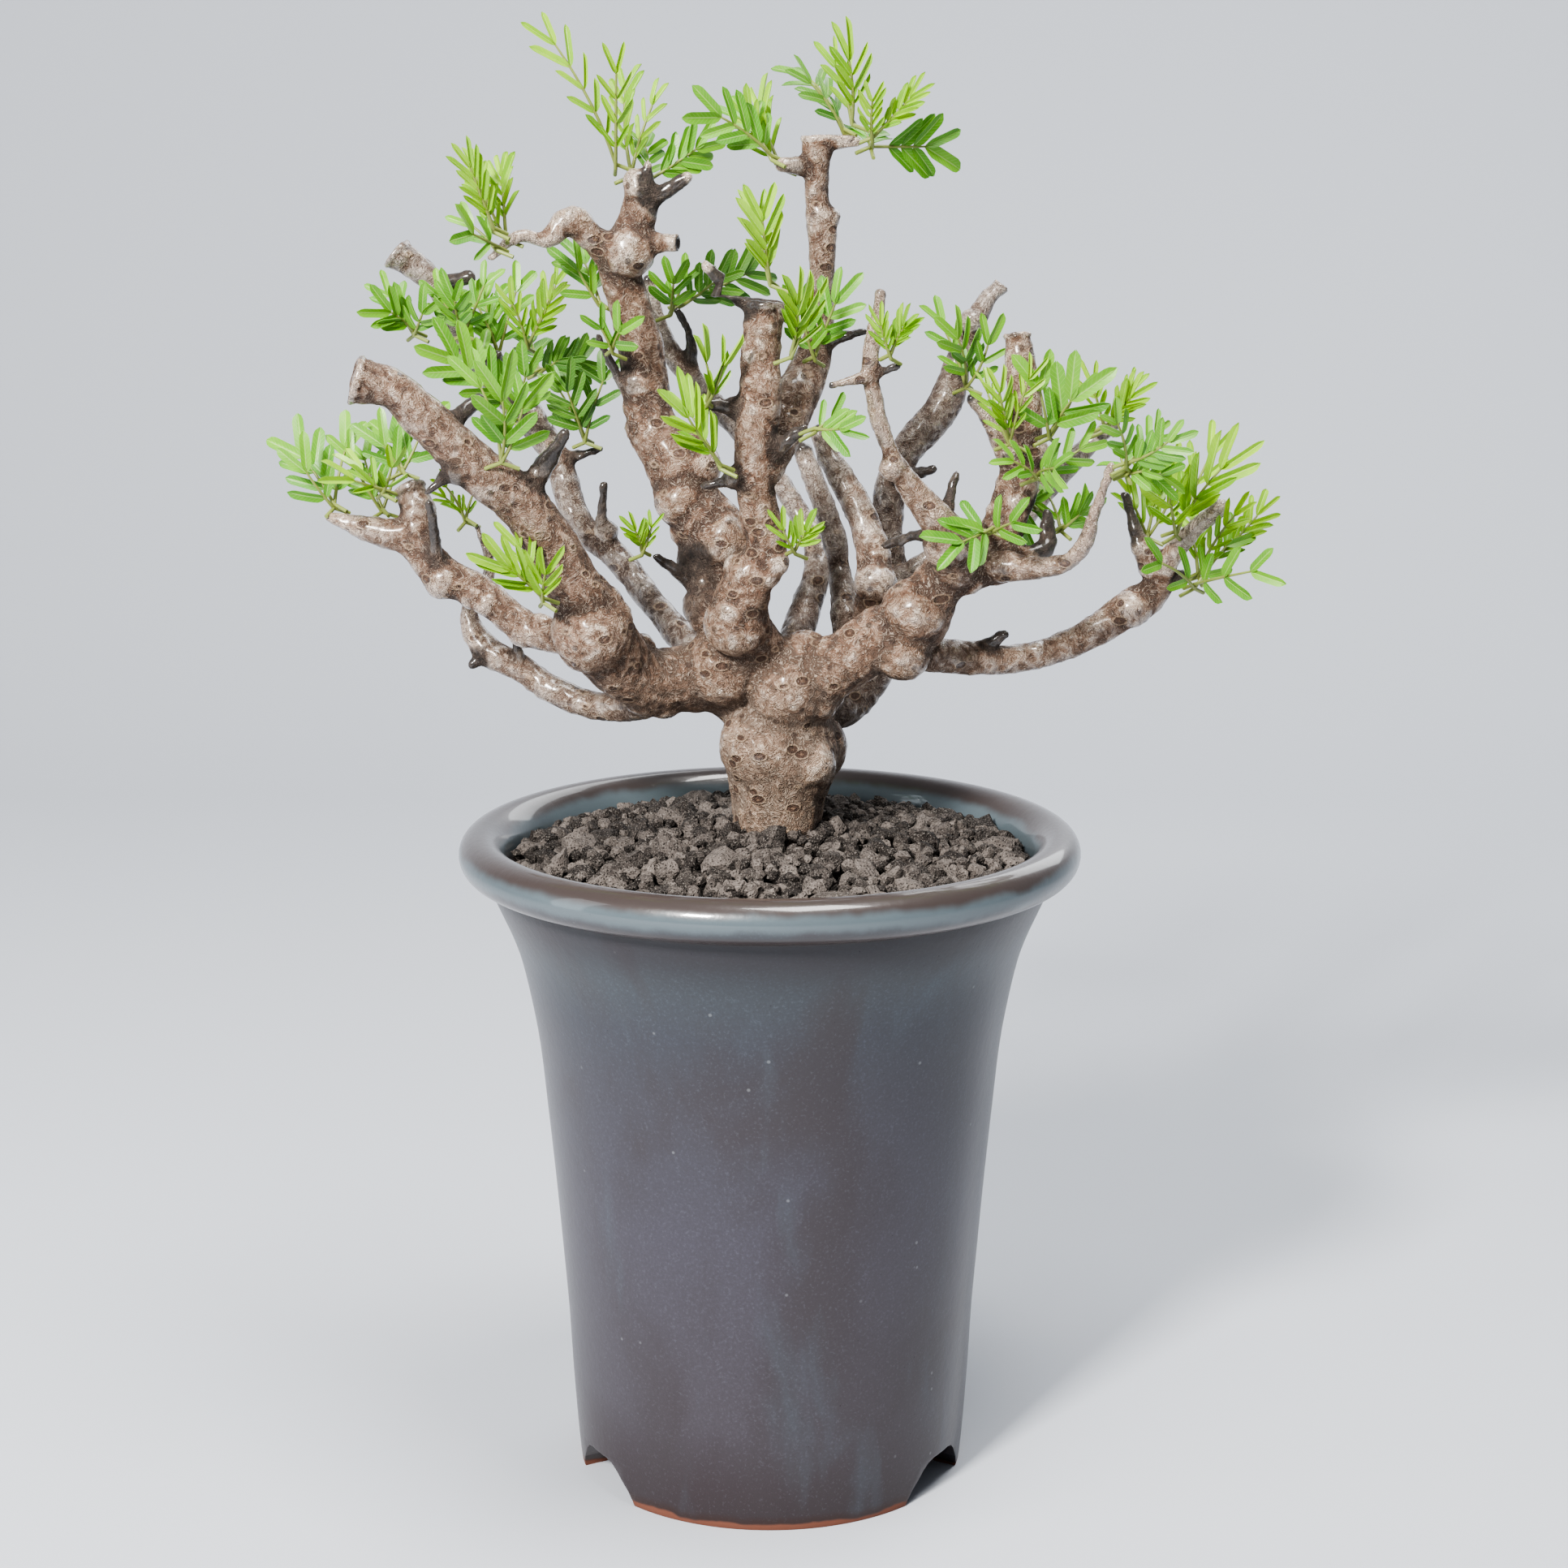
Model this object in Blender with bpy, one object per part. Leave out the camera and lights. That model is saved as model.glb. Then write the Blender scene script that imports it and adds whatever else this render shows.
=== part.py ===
"""Bonsai tree in a tall round glazed pot, standing on the floor.

Metres, +Z up. The origin is on the floor at the pot's axis; -Y is the tree's front.
Sizes below are in millimetres and are turned into metres where a mesh is made.
"""
import math

import bmesh
import bpy
from mathutils import Matrix, Vector

MM = 0.001

# Pot: outside radius and height from foot to neck, then a rolled lip.
TURN_STEPS = 36
POT_OUTSIDE = [
    (47.5, 0), (48.4, 10), (50.2, 40), (53.0, 75), (56.2, 108), (60.0, 128.5), (64.0, 140), (67.2, 147.5),
]
LIP_CENTRE_RADIUS = 69.8
LIP_CENTRE_HEIGHT = 155.7
LIP_TUBE_RADIUS = 5.2
LIP_ANGLES = [-100, -60, -20, 20, 60, 100, 140]
POT_INSIDE = [
    (63.2, 154.5), (61.2, 147), (57.6, 136), (53.6, 124), (50.0, 105), (46.5, 75), (44.0, 45), (42.8, 24),
    (38, 17),
]
POT_FLOOR_TOP = 16
POT_FLOOR_UNDERSIDE = 8.5
DRAIN_HOLE_RADIUS = 6
FOOT_RECESS = [(37, 8.5), (41.5, 0)]

# The foot is arched three times, so that the pot stands on three feet.
ARCH_DIRECTIONS_DEG = [-30, 210, 90]
ARCH_HEIGHT = 9.5
ARCH_HALF_WIDTH_LOW = 13.5
ARCH_HALF_WIDTH_HIGH = 7.5

# Drainage mesh over the hole.
MESH_WIDTH = 26
MESH_THICKNESS = 1.0
MESH_HOLE = 7
MESH_PITCH = 11

# Soil and topping, held 0.5 mm off the pot's wall.
WALL_GAP = 0.5
SOIL_TOP = 141
GRAVEL_TOP = [(0, 161), (20, 160.5), (40, 158.5), (54, 157), (61.5, 155)]
ROOT_GAP = 0.5

# Tree: the solid is a skin drawn over all limbs at once.
SKIN_CELL = 1.1
TREE_FACES_KEPT = 0.042
THINNEST_TWIG_RADIUS = 1.2
KNOB_SUBDIVISIONS = 2

# Leaves: thin flat blades.
BLADE_THICKNESS = 0.6
STALK_HALF_WIDTH = 0.5
STALK_BARE_PART = 0.22
LEAFLET_ANGLE_DEG = {0: 38, 1: 52, 2: 52}

# Below the topping the trunk swells into a root crown, with a taproot and side roots.
ROOTS = {
    "crown": [(2, 0, 158, 10), (2, 0, 149, 11), (1, 0, 138, 14), (0, 0, 124, 13), (0, 0, 104, 8), (1, 1, 84, 4)],
    "root_front": [(0, -4, 134, 6), (-4, -16, 124, 4.5), (-6, -27, 108, 3.5), (-5, -34, 88, 2)],
    "root_left": [(-4, 0, 136, 6), (-18, 2, 128, 4.5), (-30, 6, 114, 3.5), (-36, 8, 92, 2)],
    "root_right": [(6, 0, 136, 6), (19, -4, 130, 4.5), (31, -7, 118, 3.5), (36, -10, 98, 2)],
    "root_back": [(1, 5, 134, 6), (6, 17, 125, 4.5), (9, 28, 110, 3.2), (8, 35, 90, 2)],
}

# Each limb runs through a few centre points with its thickness there: x, y, z, radius.
LIMBS = {
    "trunk": [
        (3, 0, 150, 9), (2, 0, 160, 10.5), (2, 0, 170, 12), (3, 0, 180, 14), (3, 0, 187, 11.5),
        (1, 2, 194, 10)],
    "left_limb": [
        (-2, 2, 191, 9), (-12, 0, 197, 8.5), (-21, -4, 198, 8), (-30, -9, 199, 7.5), (-40, -20, 211, 8.5)],
    "left_limb_rise": [
        (-40, -20, 212, 8), (-45, -22, 223, 6.5), (-56, -26, 242, 6), (-66, -29, 251, 5.5),
        (-79, -31, 264, 5),
        (-84, -32, 269, 4.5), (-91, -33, 271, 5)],
    "left_low": [
        (-40, -16, 209, 5), (-49, -10, 209, 4), (-58, -6, 211, 4), (-70, -4, 220, 4), (-77, -4, 223, 4.5),
        (-85, -2, 231, 4), (-93, -1, 233, 3.5), (-104, 0, 236, 1.5)],
    "left_low_top": [(-84, -2, 232, 4), (-83, 0, 237, 4.5), (-85, 2, 242, 3.5)],
    "left_back_low": [
        (-26, 2, 194, 5), (-32, 8, 190, 4.5), (-41, 13, 188, 3.5), (-52, 16, 191, 3.5), (-62, 19, 197, 3.5),
        (-70, 21, 201, 3.5), (-74, 24, 211, 2), (-69, 26, 219, 1.5), (-72, 28, 230, 1)],
    "left_back": [
        (-16, 12, 200, 4.5), (-27, 26, 209, 3.5), (-39, 36, 222, 3.5), (-47, 38, 229, 3.5),
        (-53, 41, 245, 3.5),
        (-59, 43, 256, 3)],
    "left_high": [
        (-54, 41, 247, 3), (-64, 42, 258, 2.5), (-76, 44, 273, 2.5), (-83, 46, 288, 3), (-91, 47, 295, 3.5)],
    "winding": [
        (-3, 2, 197, 8.5), (-8, 2, 210, 8), (-12, 2, 222, 7.5), (-13, 3, 231, 8), (-20, 4, 241, 7),
        (-22, 4, 248, 7.5),
        (-28, 6, 258, 6), (-30, 6, 273, 5.5), (-33, 6, 286, 5), (-35, 5, 294, 5), (-33, 4, 300, 5),
        (-30, 4, 309, 4),
        (-31, 3, 314, 3)],
    "winding_left": [
        (-35, 5, 294, 4), (-42, 1, 302, 3.5), (-46, -1, 305, 3.5), (-52, -4, 301, 2), (-57, -6, 302, 1.5),
        (-64, -8, 297, 1)],
    "winding_right_stub": [(-31, 4, 300, 3), (-22, 1, 300, 2)],
    "winding_dead": [(-29, 4, 309, 2.5), (-19, 2, 315, 1.5)],
    "winding_peak": [(-29, 3, 311, 2.5), (-28, 2, 318, 1)],
    "front_limb": [
        (-2, -6, 204, 7), (-7, -13, 214, 7), (-5, -17, 223, 6), (-1, -18, 230, 5), (-3, -20, 244, 4.5),
        (-3, -22, 260, 5), (-2, -22, 268, 5), (-2, -22, 276, 4.5), (-1, -22, 286, 5)],
    "front_dead": [(-4, -22, 287, 2), (-14, -26, 296, 1.5)],
    "top_limb": [
        (-1, -19, 250, 4.5), (5, -9, 263, 5.5), (11, 0, 276, 4), (12, 1, 287, 3), (12, 2, 305, 3.5),
        (11, 2, 312, 3), (11, 2, 323, 3.5)],
    "top_arm": [(11, 2, 324, 3), (20, 0, 323, 1.5)],
    "top_left_stub": [(10, 2, 317, 2.5), (3, -1, 318, 2)],
    "back_limb": [
        (5, 8, 200, 4.5), (8, 22, 209, 4), (12, 34, 223, 3.5), (8, 38, 231, 3), (-5, 42, 249, 2.5),
        (-17, 44, 262, 3), (-26, 45, 274, 2.5), (-30, 44, 289, 1.5)],
    "right_limb": [
        (5, -4, 194, 8), (15, -8, 201, 7), (26, -11, 209, 7.5), (34, -12, 212, 7), (40, -14, 223, 6),
        (54, -14, 227, 4.5)],
    "right_low": [
        (29, -8, 206, 5), (37, -4, 204, 4.5), (48, 2, 202, 4), (60, 7, 201, 3.5), (72, 9, 204, 3.5),
        (87, 10, 213, 4.5), (93, 10, 218, 4), (92, 9, 224, 3.5), (89, 8, 228, 2.5)],
    "right_low_arm": [(93, 9, 221, 3), (98, 5, 229, 2.5), (107, 0, 239, 2)],
    "right_front_rise": [
        (43, -18, 227, 5.5), (41, -22, 234, 5), (32, -24, 247, 3), (27, -26, 256, 2), (23, -28, 272, 2),
        (25, -30, 290, 1.5)],
    "right_front_fork": [(24, -28, 272, 1.5), (14, -32, 270, 1)],
    "right_pole": [
        (51, -12, 227, 5.5), (55, -8, 236, 5), (59, -5, 248, 5), (60, -3, 256, 4), (59, -1, 270, 4),
        (58, 0, 278, 3)],
    "right_pole_left": [(58, -6, 249, 4), (52, -9, 259, 2.5), (47, -12, 265, 1.5)],
    "right_front_tip": [
        (52, -16, 227, 4), (65, -24, 228, 2.5), (70, -28, 231, 2), (74, -31, 242, 1.5), (77, -33, 252, 1)],
    "right_mid": [
        (23, 0, 204, 4.5), (25, 4, 219, 4.5), (24, 6, 230, 4), (15, 12, 248, 3), (12, 14, 254, 2.5)],
    "right_inner": [(19, 6, 205, 4), (17, 18, 220, 3), (15, 21, 230, 3), (8, 25, 249, 2.5)],
    "right_back": [
        (10, 14, 186, 6), (20, 24, 188, 5.5), (28, 31, 199, 5), (30, 34, 213, 4.5), (29, 38, 230, 4),
        (32, 42, 244, 4), (43, 46, 258, 4.5), (48, 48, 272, 3), (54, 49, 284, 2.5), (57, 50, 287, 2)],
    "right_back_low": [
        (30, 30, 215, 3.5), (40, 30, 222, 2.5), (58, 27, 229, 2.5), (70, 24, 243, 3), (83, 22, 256, 2)],
}

# Short dead twigs and cut stubs that stand off the limbs: foot, any bend and tip, as x, y, z, radius.
SPURS = [
    [(-61, 17, 199, 1.5), (-63, 15, 207, 1)], [(-69, 20, 201, 1.5), (-73, 19, 197, 1.2)],
    [(-42, 34, 229, 1.5), (-41, 32, 240, 1)], [(-52, 41, 245, 2), (-42, 39, 248, 1)],
    [(-34, 4, 265, 1.2), (-40, -2, 279, 1)], [(-6, -23, 248, 1.5), (-15, -20, 246, 1)],
    [(1, -22, 254, 2.2), (8, -26, 260, 1.2)], [(12, -1, 277, 1.8), (22, -5, 280, 1.2)],
    [(-20, 44, 266, 2), (-20, 42, 276, 1.2), (-23, 41, 282, 1)], [(-54, -26, 247, 3), (-46, -29, 259, 1.2)],
    [(-70, -30, 252, 2.2), (-77, -32, 246, 1)], [(-78, -6, 225, 1.8), (-79, -12, 241, 1)],
    [(-74, -28, 259, 2.6), (-66, -23, 266, 1.5)], [(-82, 45, 288, 2), (-74, 43, 290, 1.8)],
    [(-71, 43, 267, 1.8), (-67, 38, 271, 1.5)], [(51, 3, 204, 1.8), (56, 1, 208, 1.2)],
    [(39, -20, 234, 2), (34, -16, 234, 1.5), (27, -12, 231, 1.2)], [(-15, 0, 219, 3), (-27, -8, 228, 1)],
    [(40, -20, 238, 2), (43, -16, 248, 1.2)], [(30, 40, 240, 2), (40, 30, 244, 1.2)],
    [(89, 8, 228, 2), (85, 10, 240, 1)], [(-7, -22, 264, 2), (-14, -23, 265, 1.5)],
    [(24, -28, 272, 1.3), (29, -29, 274, 1)], [(0, -22, 286, 2.6), (0, -21, 291, 1.5)],
    [(55, -13, 228, 2.6), (64, -11, 230, 2.5), (65, -8, 238, 1.5)], [(95, 10, 219, 2.5), (99, 9, 221, 1.6)],
]

# Rounded swellings of the wood: x, y, z, radius.
KNOBS = [
    (-1, -4, 182, 10.5), (9, 3, 180, 9), (4, -6, 196, 9.5), (8, -5, 203, 6.5), (-11, -5, 201, 9),
    (-29, -6, 196, 6.5),
    (-41, -21, 212, 9), (-77, -5, 222, 4.5), (-58, -6, 210, 4), (-70, -31, 251, 3.5), (-91, -33, 271, 5),
    (-41, 35, 228, 3), (-92, 46, 295, 3.5), (-11, -1, 231, 7), (-21, 1, 240, 6), (-17, 3, 248, 5.5),
    (-33, 2, 298, 6), (-13, -1, 215, 7), (-8, -15, 213, 7), (-8, -22, 248, 2.5), (1, -20, 228, 3.5),
    (-8, -21, 264, 2.5), (14, 2, 306, 2.5), (34, -14, 216, 7.5), (31, -13, 206, 6.5),
    (25, 2, 220, 5), (41, -22, 233, 5.5), (28, -26, 251, 3), (87, 8, 213, 4.5), (63, -7, 253, 2.5),
    (50, 46, 279, 3), (-68, 41, 270, 2),
]

# Each leafy shoot has its place, then its leaves from the top down. A leaf has a heading round the
# upright (0 is +X, 90 the back), a climb, a length, pairs of leaflets, leaflet length, roll and tone.
SHOOTS = {
    "winding_left_tip": ((-60, -9, 304), [
        (225, 65, 20, 5, 9, 20, 0), (100, 60, 19, 5, 9, -20, 0), (235, 20, 14, 2, 9, 10, 1)]),
    "winding_top": ((-32, 4, 318), [
        (205, 60, 36, 5, 10, 15, 0), (95, 65, 25, 5, 9, -25, 0), (30, 30, 20, 5, 10, 30, 1)]),
    "top_left": ((4, 0, 320), [(210, 30, 22, 4, 11, 10, 1), (115, 55, 20, 5, 10, -30, 0)]),
    "top_right": ((20, 0, 328), [
        (255, 65, 20, 4, 10, 15, 0), (135, 40, 22, 4, 9, 40, 2), (340, 45, 17, 6, 8, -15, 0),
        (25, 0, 20, 4, 12, 25, 1)]),
    "front_top": ((2, -26, 293), [(245, 75, 20, 4, 11, 20, 0)]),
    "front_middle": ((5, -25, 277), [(270, 65, 18, 4, 11, 35, 0)]),
    "front_right": ((8, -10, 275), [(310, 60, 20, 4, 10, -20, 1)]),
    "front_bud": ((7, -26, 260), [(325, 5, 12, 3, 9, 10, 1)]),
    "front_left": ((-8, -28, 252), [(225, 50, 22, 4, 12, 10, 0)]),
    "front_left_bud": ((-13, -24, 266), [(255, 60, 16, 2, 10, 40, 0)]),
    "front_foot": ((4, -22, 232), [(300, 40, 12, 4, 8, 0, 0)]),
    "winding_foot": ((-28, -10, 230), [(245, 50, 10, 4, 6, 10, 0)]),
    "winding_front": ((-38, -2, 276), [(295, 40, 12, 2, 9, 0, 1)]),
    "winding_back": ((-38, 7, 286), [(125, 50, 16, 3, 11, 20, 1)]),
    "back_tip": ((-25, 41, 284), [(30, 20, 24, 5, 11, 20, 2), (280, 55, 14, 3, 9, 0, 1)]),
    "rise_tip": ((25, -29, 277), [(305, 50, 12, 6, 7, -20, 0)]),
    "right_back_side": ((50, 43, 264), [(245, 55, 20, 4, 10, 30, 1)]),
    "pole_left": ((57, -12, 256), [(245, 60, 18, 5, 8, 20, 0)]),
    "pole_right": ((62, -9, 257), [(315, 50, 18, 3, 13, 5, 1)]),
    "pole_front": ((61, -11, 248), [(285, 10, 18, 4, 10, 20, 1)]),
    "pole_under": ((63, -4, 240), [(125, -60, 12, 3, 9, 0, 1)]),
    "pole_foot": ((66, -4, 234), [(45, 20, 12, 3, 9, 25, 1)]),
    "right_back_tip": ((78, 18, 256), [(310, 45, 16, 5, 9, -20, 0)]),
    "right_front": ((54, -22, 237), [(225, -10, 18, 3, 12, 10, 1)]),
    "right_front_end": ((77, -33, 253), [(320, 30, 17, 5, 8, 15, 1), (20, -10, 13, 3, 9, -10, 1)]),
    "right_low_back": ((91, 12, 230), [(85, 55, 18, 4, 11, 30, 0)]),
    "right_low_front": ((93, 1, 233), [(320, 50, 28, 4, 14, -10, 0)]),
    "right_low_end": ((99, 4, 222), [(25, 40, 25, 6, 9, -20, 0), (300, 15, 30, 3, 11, 10, 1)]),
    "left_low_end": ((-100, 0, 239), [(145, 45, 20, 3, 12, 0, 1)]),
    "left_low_front": ((-88, 0, 243), [(220, 20, 14, 2, 10, 30, 0)]),
    "left_low_back": ((-86, 2, 247), [(110, 45, 14, 2, 12, 0, 1)]),
    "left_low_side": ((-91, 7, 237), [(120, 50, 18, 3, 9, 10, 1)]),
    "left_high_end": ((-85, 42, 277), [(230, 30, 15, 4, 10, 10, 1)]),
    "left_high_front": ((-75, 41, 277), [(265, 50, 16, 4, 9, -20, 1)]),
    "left_high_back": ((-66, 43, 271), [(115, 60, 20, 4, 10, 10, 1)]),
    "left_high_right": ((-62, 39, 274), [(310, 50, 20, 5, 9, -15, 0)]),
    "left_high_low": ((-60, 37, 256), [(220, 40, 30, 5, 13, 10, 1)]),
    "left_high_inner": ((-61, 45, 267), [(30, 10, 16, 5, 10, 10, 2)]),
    "left_rise": ((-60, -31, 254), [(270, 65, 22, 3, 12, 20, 1)]),
    "left_back_side": ((-44, 39, 251), [(245, 55, 21, 4, 10, 0, 2)]),
    "elbow": ((-48, -31, 222), [(215, 40, 18, 4, 12, 0, 0)]),
    "left_back_low_tip": ((-72, 27, 232), [(140, 30, 11, 3, 6, 20, 0)]),
}
LEAF_STANDOFF = 4     # from the middle of the shoot to the foot of a leaf
LEAF_STEP_DOWN = 2    # each leaf of a shoot starts this much below the one before


def leaf_rows():
    """Foot and tip of every leaf, worked out from its shoot, heading, climb and length."""
    rows = []
    for (x, y, z), leaves in SHOOTS.values():
        for place, (heading, climb, length, *habit) in enumerate(leaves):
            turn, lift = math.radians(heading), math.radians(climb)
            foot = (
                x + LEAF_STANDOFF * math.cos(turn), y + LEAF_STANDOFF * math.sin(turn),
                z - LEAF_STEP_DOWN * place)
            reach = length * math.cos(lift)
            tip = (
                foot[0] + reach * math.cos(turn), foot[1] + reach * math.sin(turn),
                foot[2] + length * math.sin(lift))
            rows.append((*foot, *tip, *habit))
    return rows




def clear_scene():
    for thing in list(bpy.data.objects):
        bpy.data.objects.remove(thing)


def make_material(name, colour, roughness):
    material = bpy.data.materials.new(name)
    material.use_nodes = True
    shader = material.node_tree.nodes["Principled BSDF"]
    shader.inputs["Base Color"].default_value = (*colour, 1)
    shader.inputs["Roughness"].default_value = roughness
    shader.inputs["Metallic"].default_value = 0
    return material


def place_mesh(name, shape, material, smooth=True):
    """Turn a bmesh in millimetres into a named object in metres."""
    bmesh.ops.scale(shape, vec=(MM, MM, MM), verts=shape.verts)
    mesh = bpy.data.meshes.new(name)
    shape.to_mesh(mesh)
    shape.free()
    mesh.materials.append(material)
    if smooth:
        mesh.shade_smooth()
        mesh.set_sharp_from_angle(angle=math.radians(40))
    piece = bpy.data.objects.new(name, mesh)
    bpy.context.scene.collection.objects.link(piece)
    return piece


def turn_profile(profile, closed):
    """Spin a list of (radius, height) points round the pot's axis."""
    shape = bmesh.new()
    points = [shape.verts.new((radius, 0, height)) for radius, height in profile]
    pairs = list(zip(points, points[1:]))
    if closed:
        pairs.append((points[-1], points[0]))
    edges = [shape.edges.new(pair) for pair in pairs]
    bmesh.ops.spin(
        shape, geom=points + edges, axis=(0, 0, 1), cent=(0, 0, 0),
        angle=math.tau, steps=TURN_STEPS, use_merge=True)
    bmesh.ops.remove_doubles(shape, verts=shape.verts, dist=0.01)
    bmesh.ops.recalc_face_normals(shape, faces=shape.faces)
    return shape


def hide_tool(tool):
    tool.hide_render = True
    tool.display_type = "WIRE"


def cut_with(piece, tool):
    cut = piece.modifiers.new("cut", "BOOLEAN")
    cut.operation = "DIFFERENCE"
    cut.solver = "EXACT"
    cut.object = tool


def build_pot():
    lip = []
    for degrees in LIP_ANGLES:
        turn = math.radians(degrees)
        lip.append((
            LIP_CENTRE_RADIUS + LIP_TUBE_RADIUS * math.cos(turn),
            LIP_CENTRE_HEIGHT + LIP_TUBE_RADIUS * math.sin(turn)))
    hole = [(DRAIN_HOLE_RADIUS, POT_FLOOR_TOP), (DRAIN_HOLE_RADIUS, POT_FLOOR_UNDERSIDE)]
    profile = POT_OUTSIDE + lip + POT_INSIDE + hole + FOOT_RECESS
    glaze = make_material("slate_glaze", (0.13, 0.14, 0.145), 0.3)
    pot = place_mesh("pot", turn_profile(profile, closed=True), glaze)
    for number, degrees in enumerate(ARCH_DIRECTIONS_DEG, start=1):
        cut_with(pot, build_arch_cutter("arch_cutter_%d" % number, degrees, glaze))


def build_arch_cutter(name, degrees, material):
    """A block with sloping sides that reaches through one side of the foot ring."""
    shape = bmesh.new()
    outline = [
        (-ARCH_HALF_WIDTH_LOW, -1), (ARCH_HALF_WIDTH_LOW, -1), (ARCH_HALF_WIDTH_LOW - 1, 2),
        (ARCH_HALF_WIDTH_HIGH, ARCH_HEIGHT - 1.5), (ARCH_HALF_WIDTH_HIGH - 3, ARCH_HEIGHT),
        (3 - ARCH_HALF_WIDTH_HIGH, ARCH_HEIGHT), (-ARCH_HALF_WIDTH_HIGH, ARCH_HEIGHT - 1.5),
        (1 - ARCH_HALF_WIDTH_LOW, 2)]
    near = 30
    far = 60
    face = shape.faces.new([shape.verts.new((near, across, up)) for across, up in outline])
    grown = bmesh.ops.extrude_face_region(shape, geom=[face])
    moved = [part for part in grown["geom"] if isinstance(part, bmesh.types.BMVert)]
    bmesh.ops.translate(shape, verts=moved, vec=(far - near, 0, 0))
    bmesh.ops.recalc_face_normals(shape, faces=shape.faces)
    turn = Matrix.Rotation(math.radians(degrees), 3, "Z")
    bmesh.ops.rotate(shape, cent=(0, 0, 0), matrix=turn, verts=shape.verts)
    tool = place_mesh(name, shape, material, smooth=False)
    hide_tool(tool)
    return tool


def build_drainage_mesh():
    """A square plastic mesh: a plate with four square holes."""
    steps = [-MESH_WIDTH / 2]
    for middle in (-MESH_PITCH / 2, MESH_PITCH / 2):
        steps += [middle - MESH_HOLE / 2, middle + MESH_HOLE / 2]
    steps.append(MESH_WIDTH / 2)
    low = POT_FLOOR_TOP + 0.4
    shape = bmesh.new()
    grid = [[shape.verts.new((x, y, low)) for y in steps] for x in steps]
    last = len(steps) - 1
    for i in range(last):
        for j in range(last):
            if i % 2 == 1 and j % 2 == 1:
                continue
            shape.faces.new((grid[i][j], grid[i + 1][j], grid[i + 1][j + 1], grid[i][j + 1]))
    grown = bmesh.ops.extrude_face_region(shape, geom=list(shape.faces))
    moved = [part for part in grown["geom"] if isinstance(part, bmesh.types.BMVert)]
    bmesh.ops.translate(shape, verts=moved, vec=(0, 0, MESH_THICKNESS))
    bmesh.ops.recalc_face_normals(shape, faces=shape.faces)
    plastic = make_material("mesh_plastic", (0.03, 0.03, 0.03), 0.6)
    place_mesh("drainage_mesh", shape, plastic, smooth=False)


def wall_radius(height):
    """Radius of the pot's inner wall at a height."""
    for (upper_radius, upper), (lower_radius, lower) in zip(POT_INSIDE, POT_INSIDE[1:]):
        if lower <= height <= upper:
            share = (height - lower) / (upper - lower)
            return lower_radius + share * (upper_radius - lower_radius)
    return POT_INSIDE[0][0]


def fill_between(low, high):
    """Outer profile of a filling, from its lower edge up to its upper edge."""
    corners = [height for _, height in reversed(POT_INSIDE) if low < height < high]
    return [(wall_radius(height) - WALL_GAP, height) for height in [low] + corners + [high]]


def build_soil_and_gravel(tree_tool):
    mesh_recess_radius = MESH_WIDTH * 0.75
    mesh_recess_top = POT_FLOOR_TOP + 1.9
    soil_low = POT_FLOOR_TOP + 1.1
    profile = [(0, mesh_recess_top), (mesh_recess_radius, mesh_recess_top), (mesh_recess_radius + 1, soil_low)]
    profile += fill_between(soil_low, SOIL_TOP) + [(0, SOIL_TOP)]
    soil_material = make_material("soil_mix", (0.09, 0.06, 0.04), 0.95)
    soil = place_mesh("soil_mix", turn_profile(profile, closed=False), soil_material)
    cut_with(soil, tree_tool)

    gravel_low = SOIL_TOP + WALL_GAP
    gravel_edge = GRAVEL_TOP[-1][1] - 1
    profile = [(0, gravel_low)] + fill_between(gravel_low, gravel_edge) + GRAVEL_TOP[::-1]
    gravel_material = make_material("lava_gravel", (0.21, 0.17, 0.14), 0.95)
    gravel = place_mesh("gravel_topping", turn_profile(profile, closed=False), gravel_material)
    cut_with(gravel, tree_tool)


def draw_limbs():
    """One mesh that holds every limb, root and spur as a closed tube, and every knob as a ball."""
    curve = bpy.data.curves.new("limb_lines", "CURVE")
    curve.dimensions = "3D"
    curve.bevel_depth = MM
    curve.bevel_resolution = 2
    curve.resolution_u = 4
    curve.use_fill_caps = True
    for points in [*ROOTS.values(), *LIMBS.values(), *SPURS]:
        spline = curve.splines.new("BEZIER")
        spline.radius_interpolation = "CARDINAL"
        spline.bezier_points.add(len(points) - 1)
        for knot, (x, y, z, radius) in zip(spline.bezier_points, points):
            knot.co = Vector((x, y, z)) * MM
            knot.radius = max(radius, THINNEST_TWIG_RADIUS)
            knot.handle_left_type = "AUTO"
            knot.handle_right_type = "AUTO"
    lines = bpy.data.objects.new("limb_lines", curve)
    bpy.context.scene.collection.objects.link(lines)
    bpy.context.view_layer.update()
    drawn = lines.evaluated_get(bpy.context.evaluated_depsgraph_get())
    tubes = bpy.data.meshes.new_from_object(drawn)
    bpy.data.objects.remove(lines)

    shape = bmesh.new()
    shape.from_mesh(tubes)
    bmesh.ops.scale(shape, vec=(1 / MM, 1 / MM, 1 / MM), verts=shape.verts)
    balls = [*KNOBS]
    balls += [points[end] for points in [*ROOTS.values(), *LIMBS.values()] for end in (0, -1)]
    for x, y, z, radius in balls:
        bmesh.ops.create_icosphere(
            shape, subdivisions=KNOB_SUBDIVISIONS, radius=radius, matrix=Matrix.Translation((x, y, z)))
    return shape


def skin_over(piece):
    remesh = piece.modifiers.new("skin", "REMESH")
    remesh.mode = "VOXEL"
    remesh.voxel_size = SKIN_CELL * MM
    thin = piece.modifiers.new("thin", "DECIMATE")
    thin.ratio = TREE_FACES_KEPT


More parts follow.
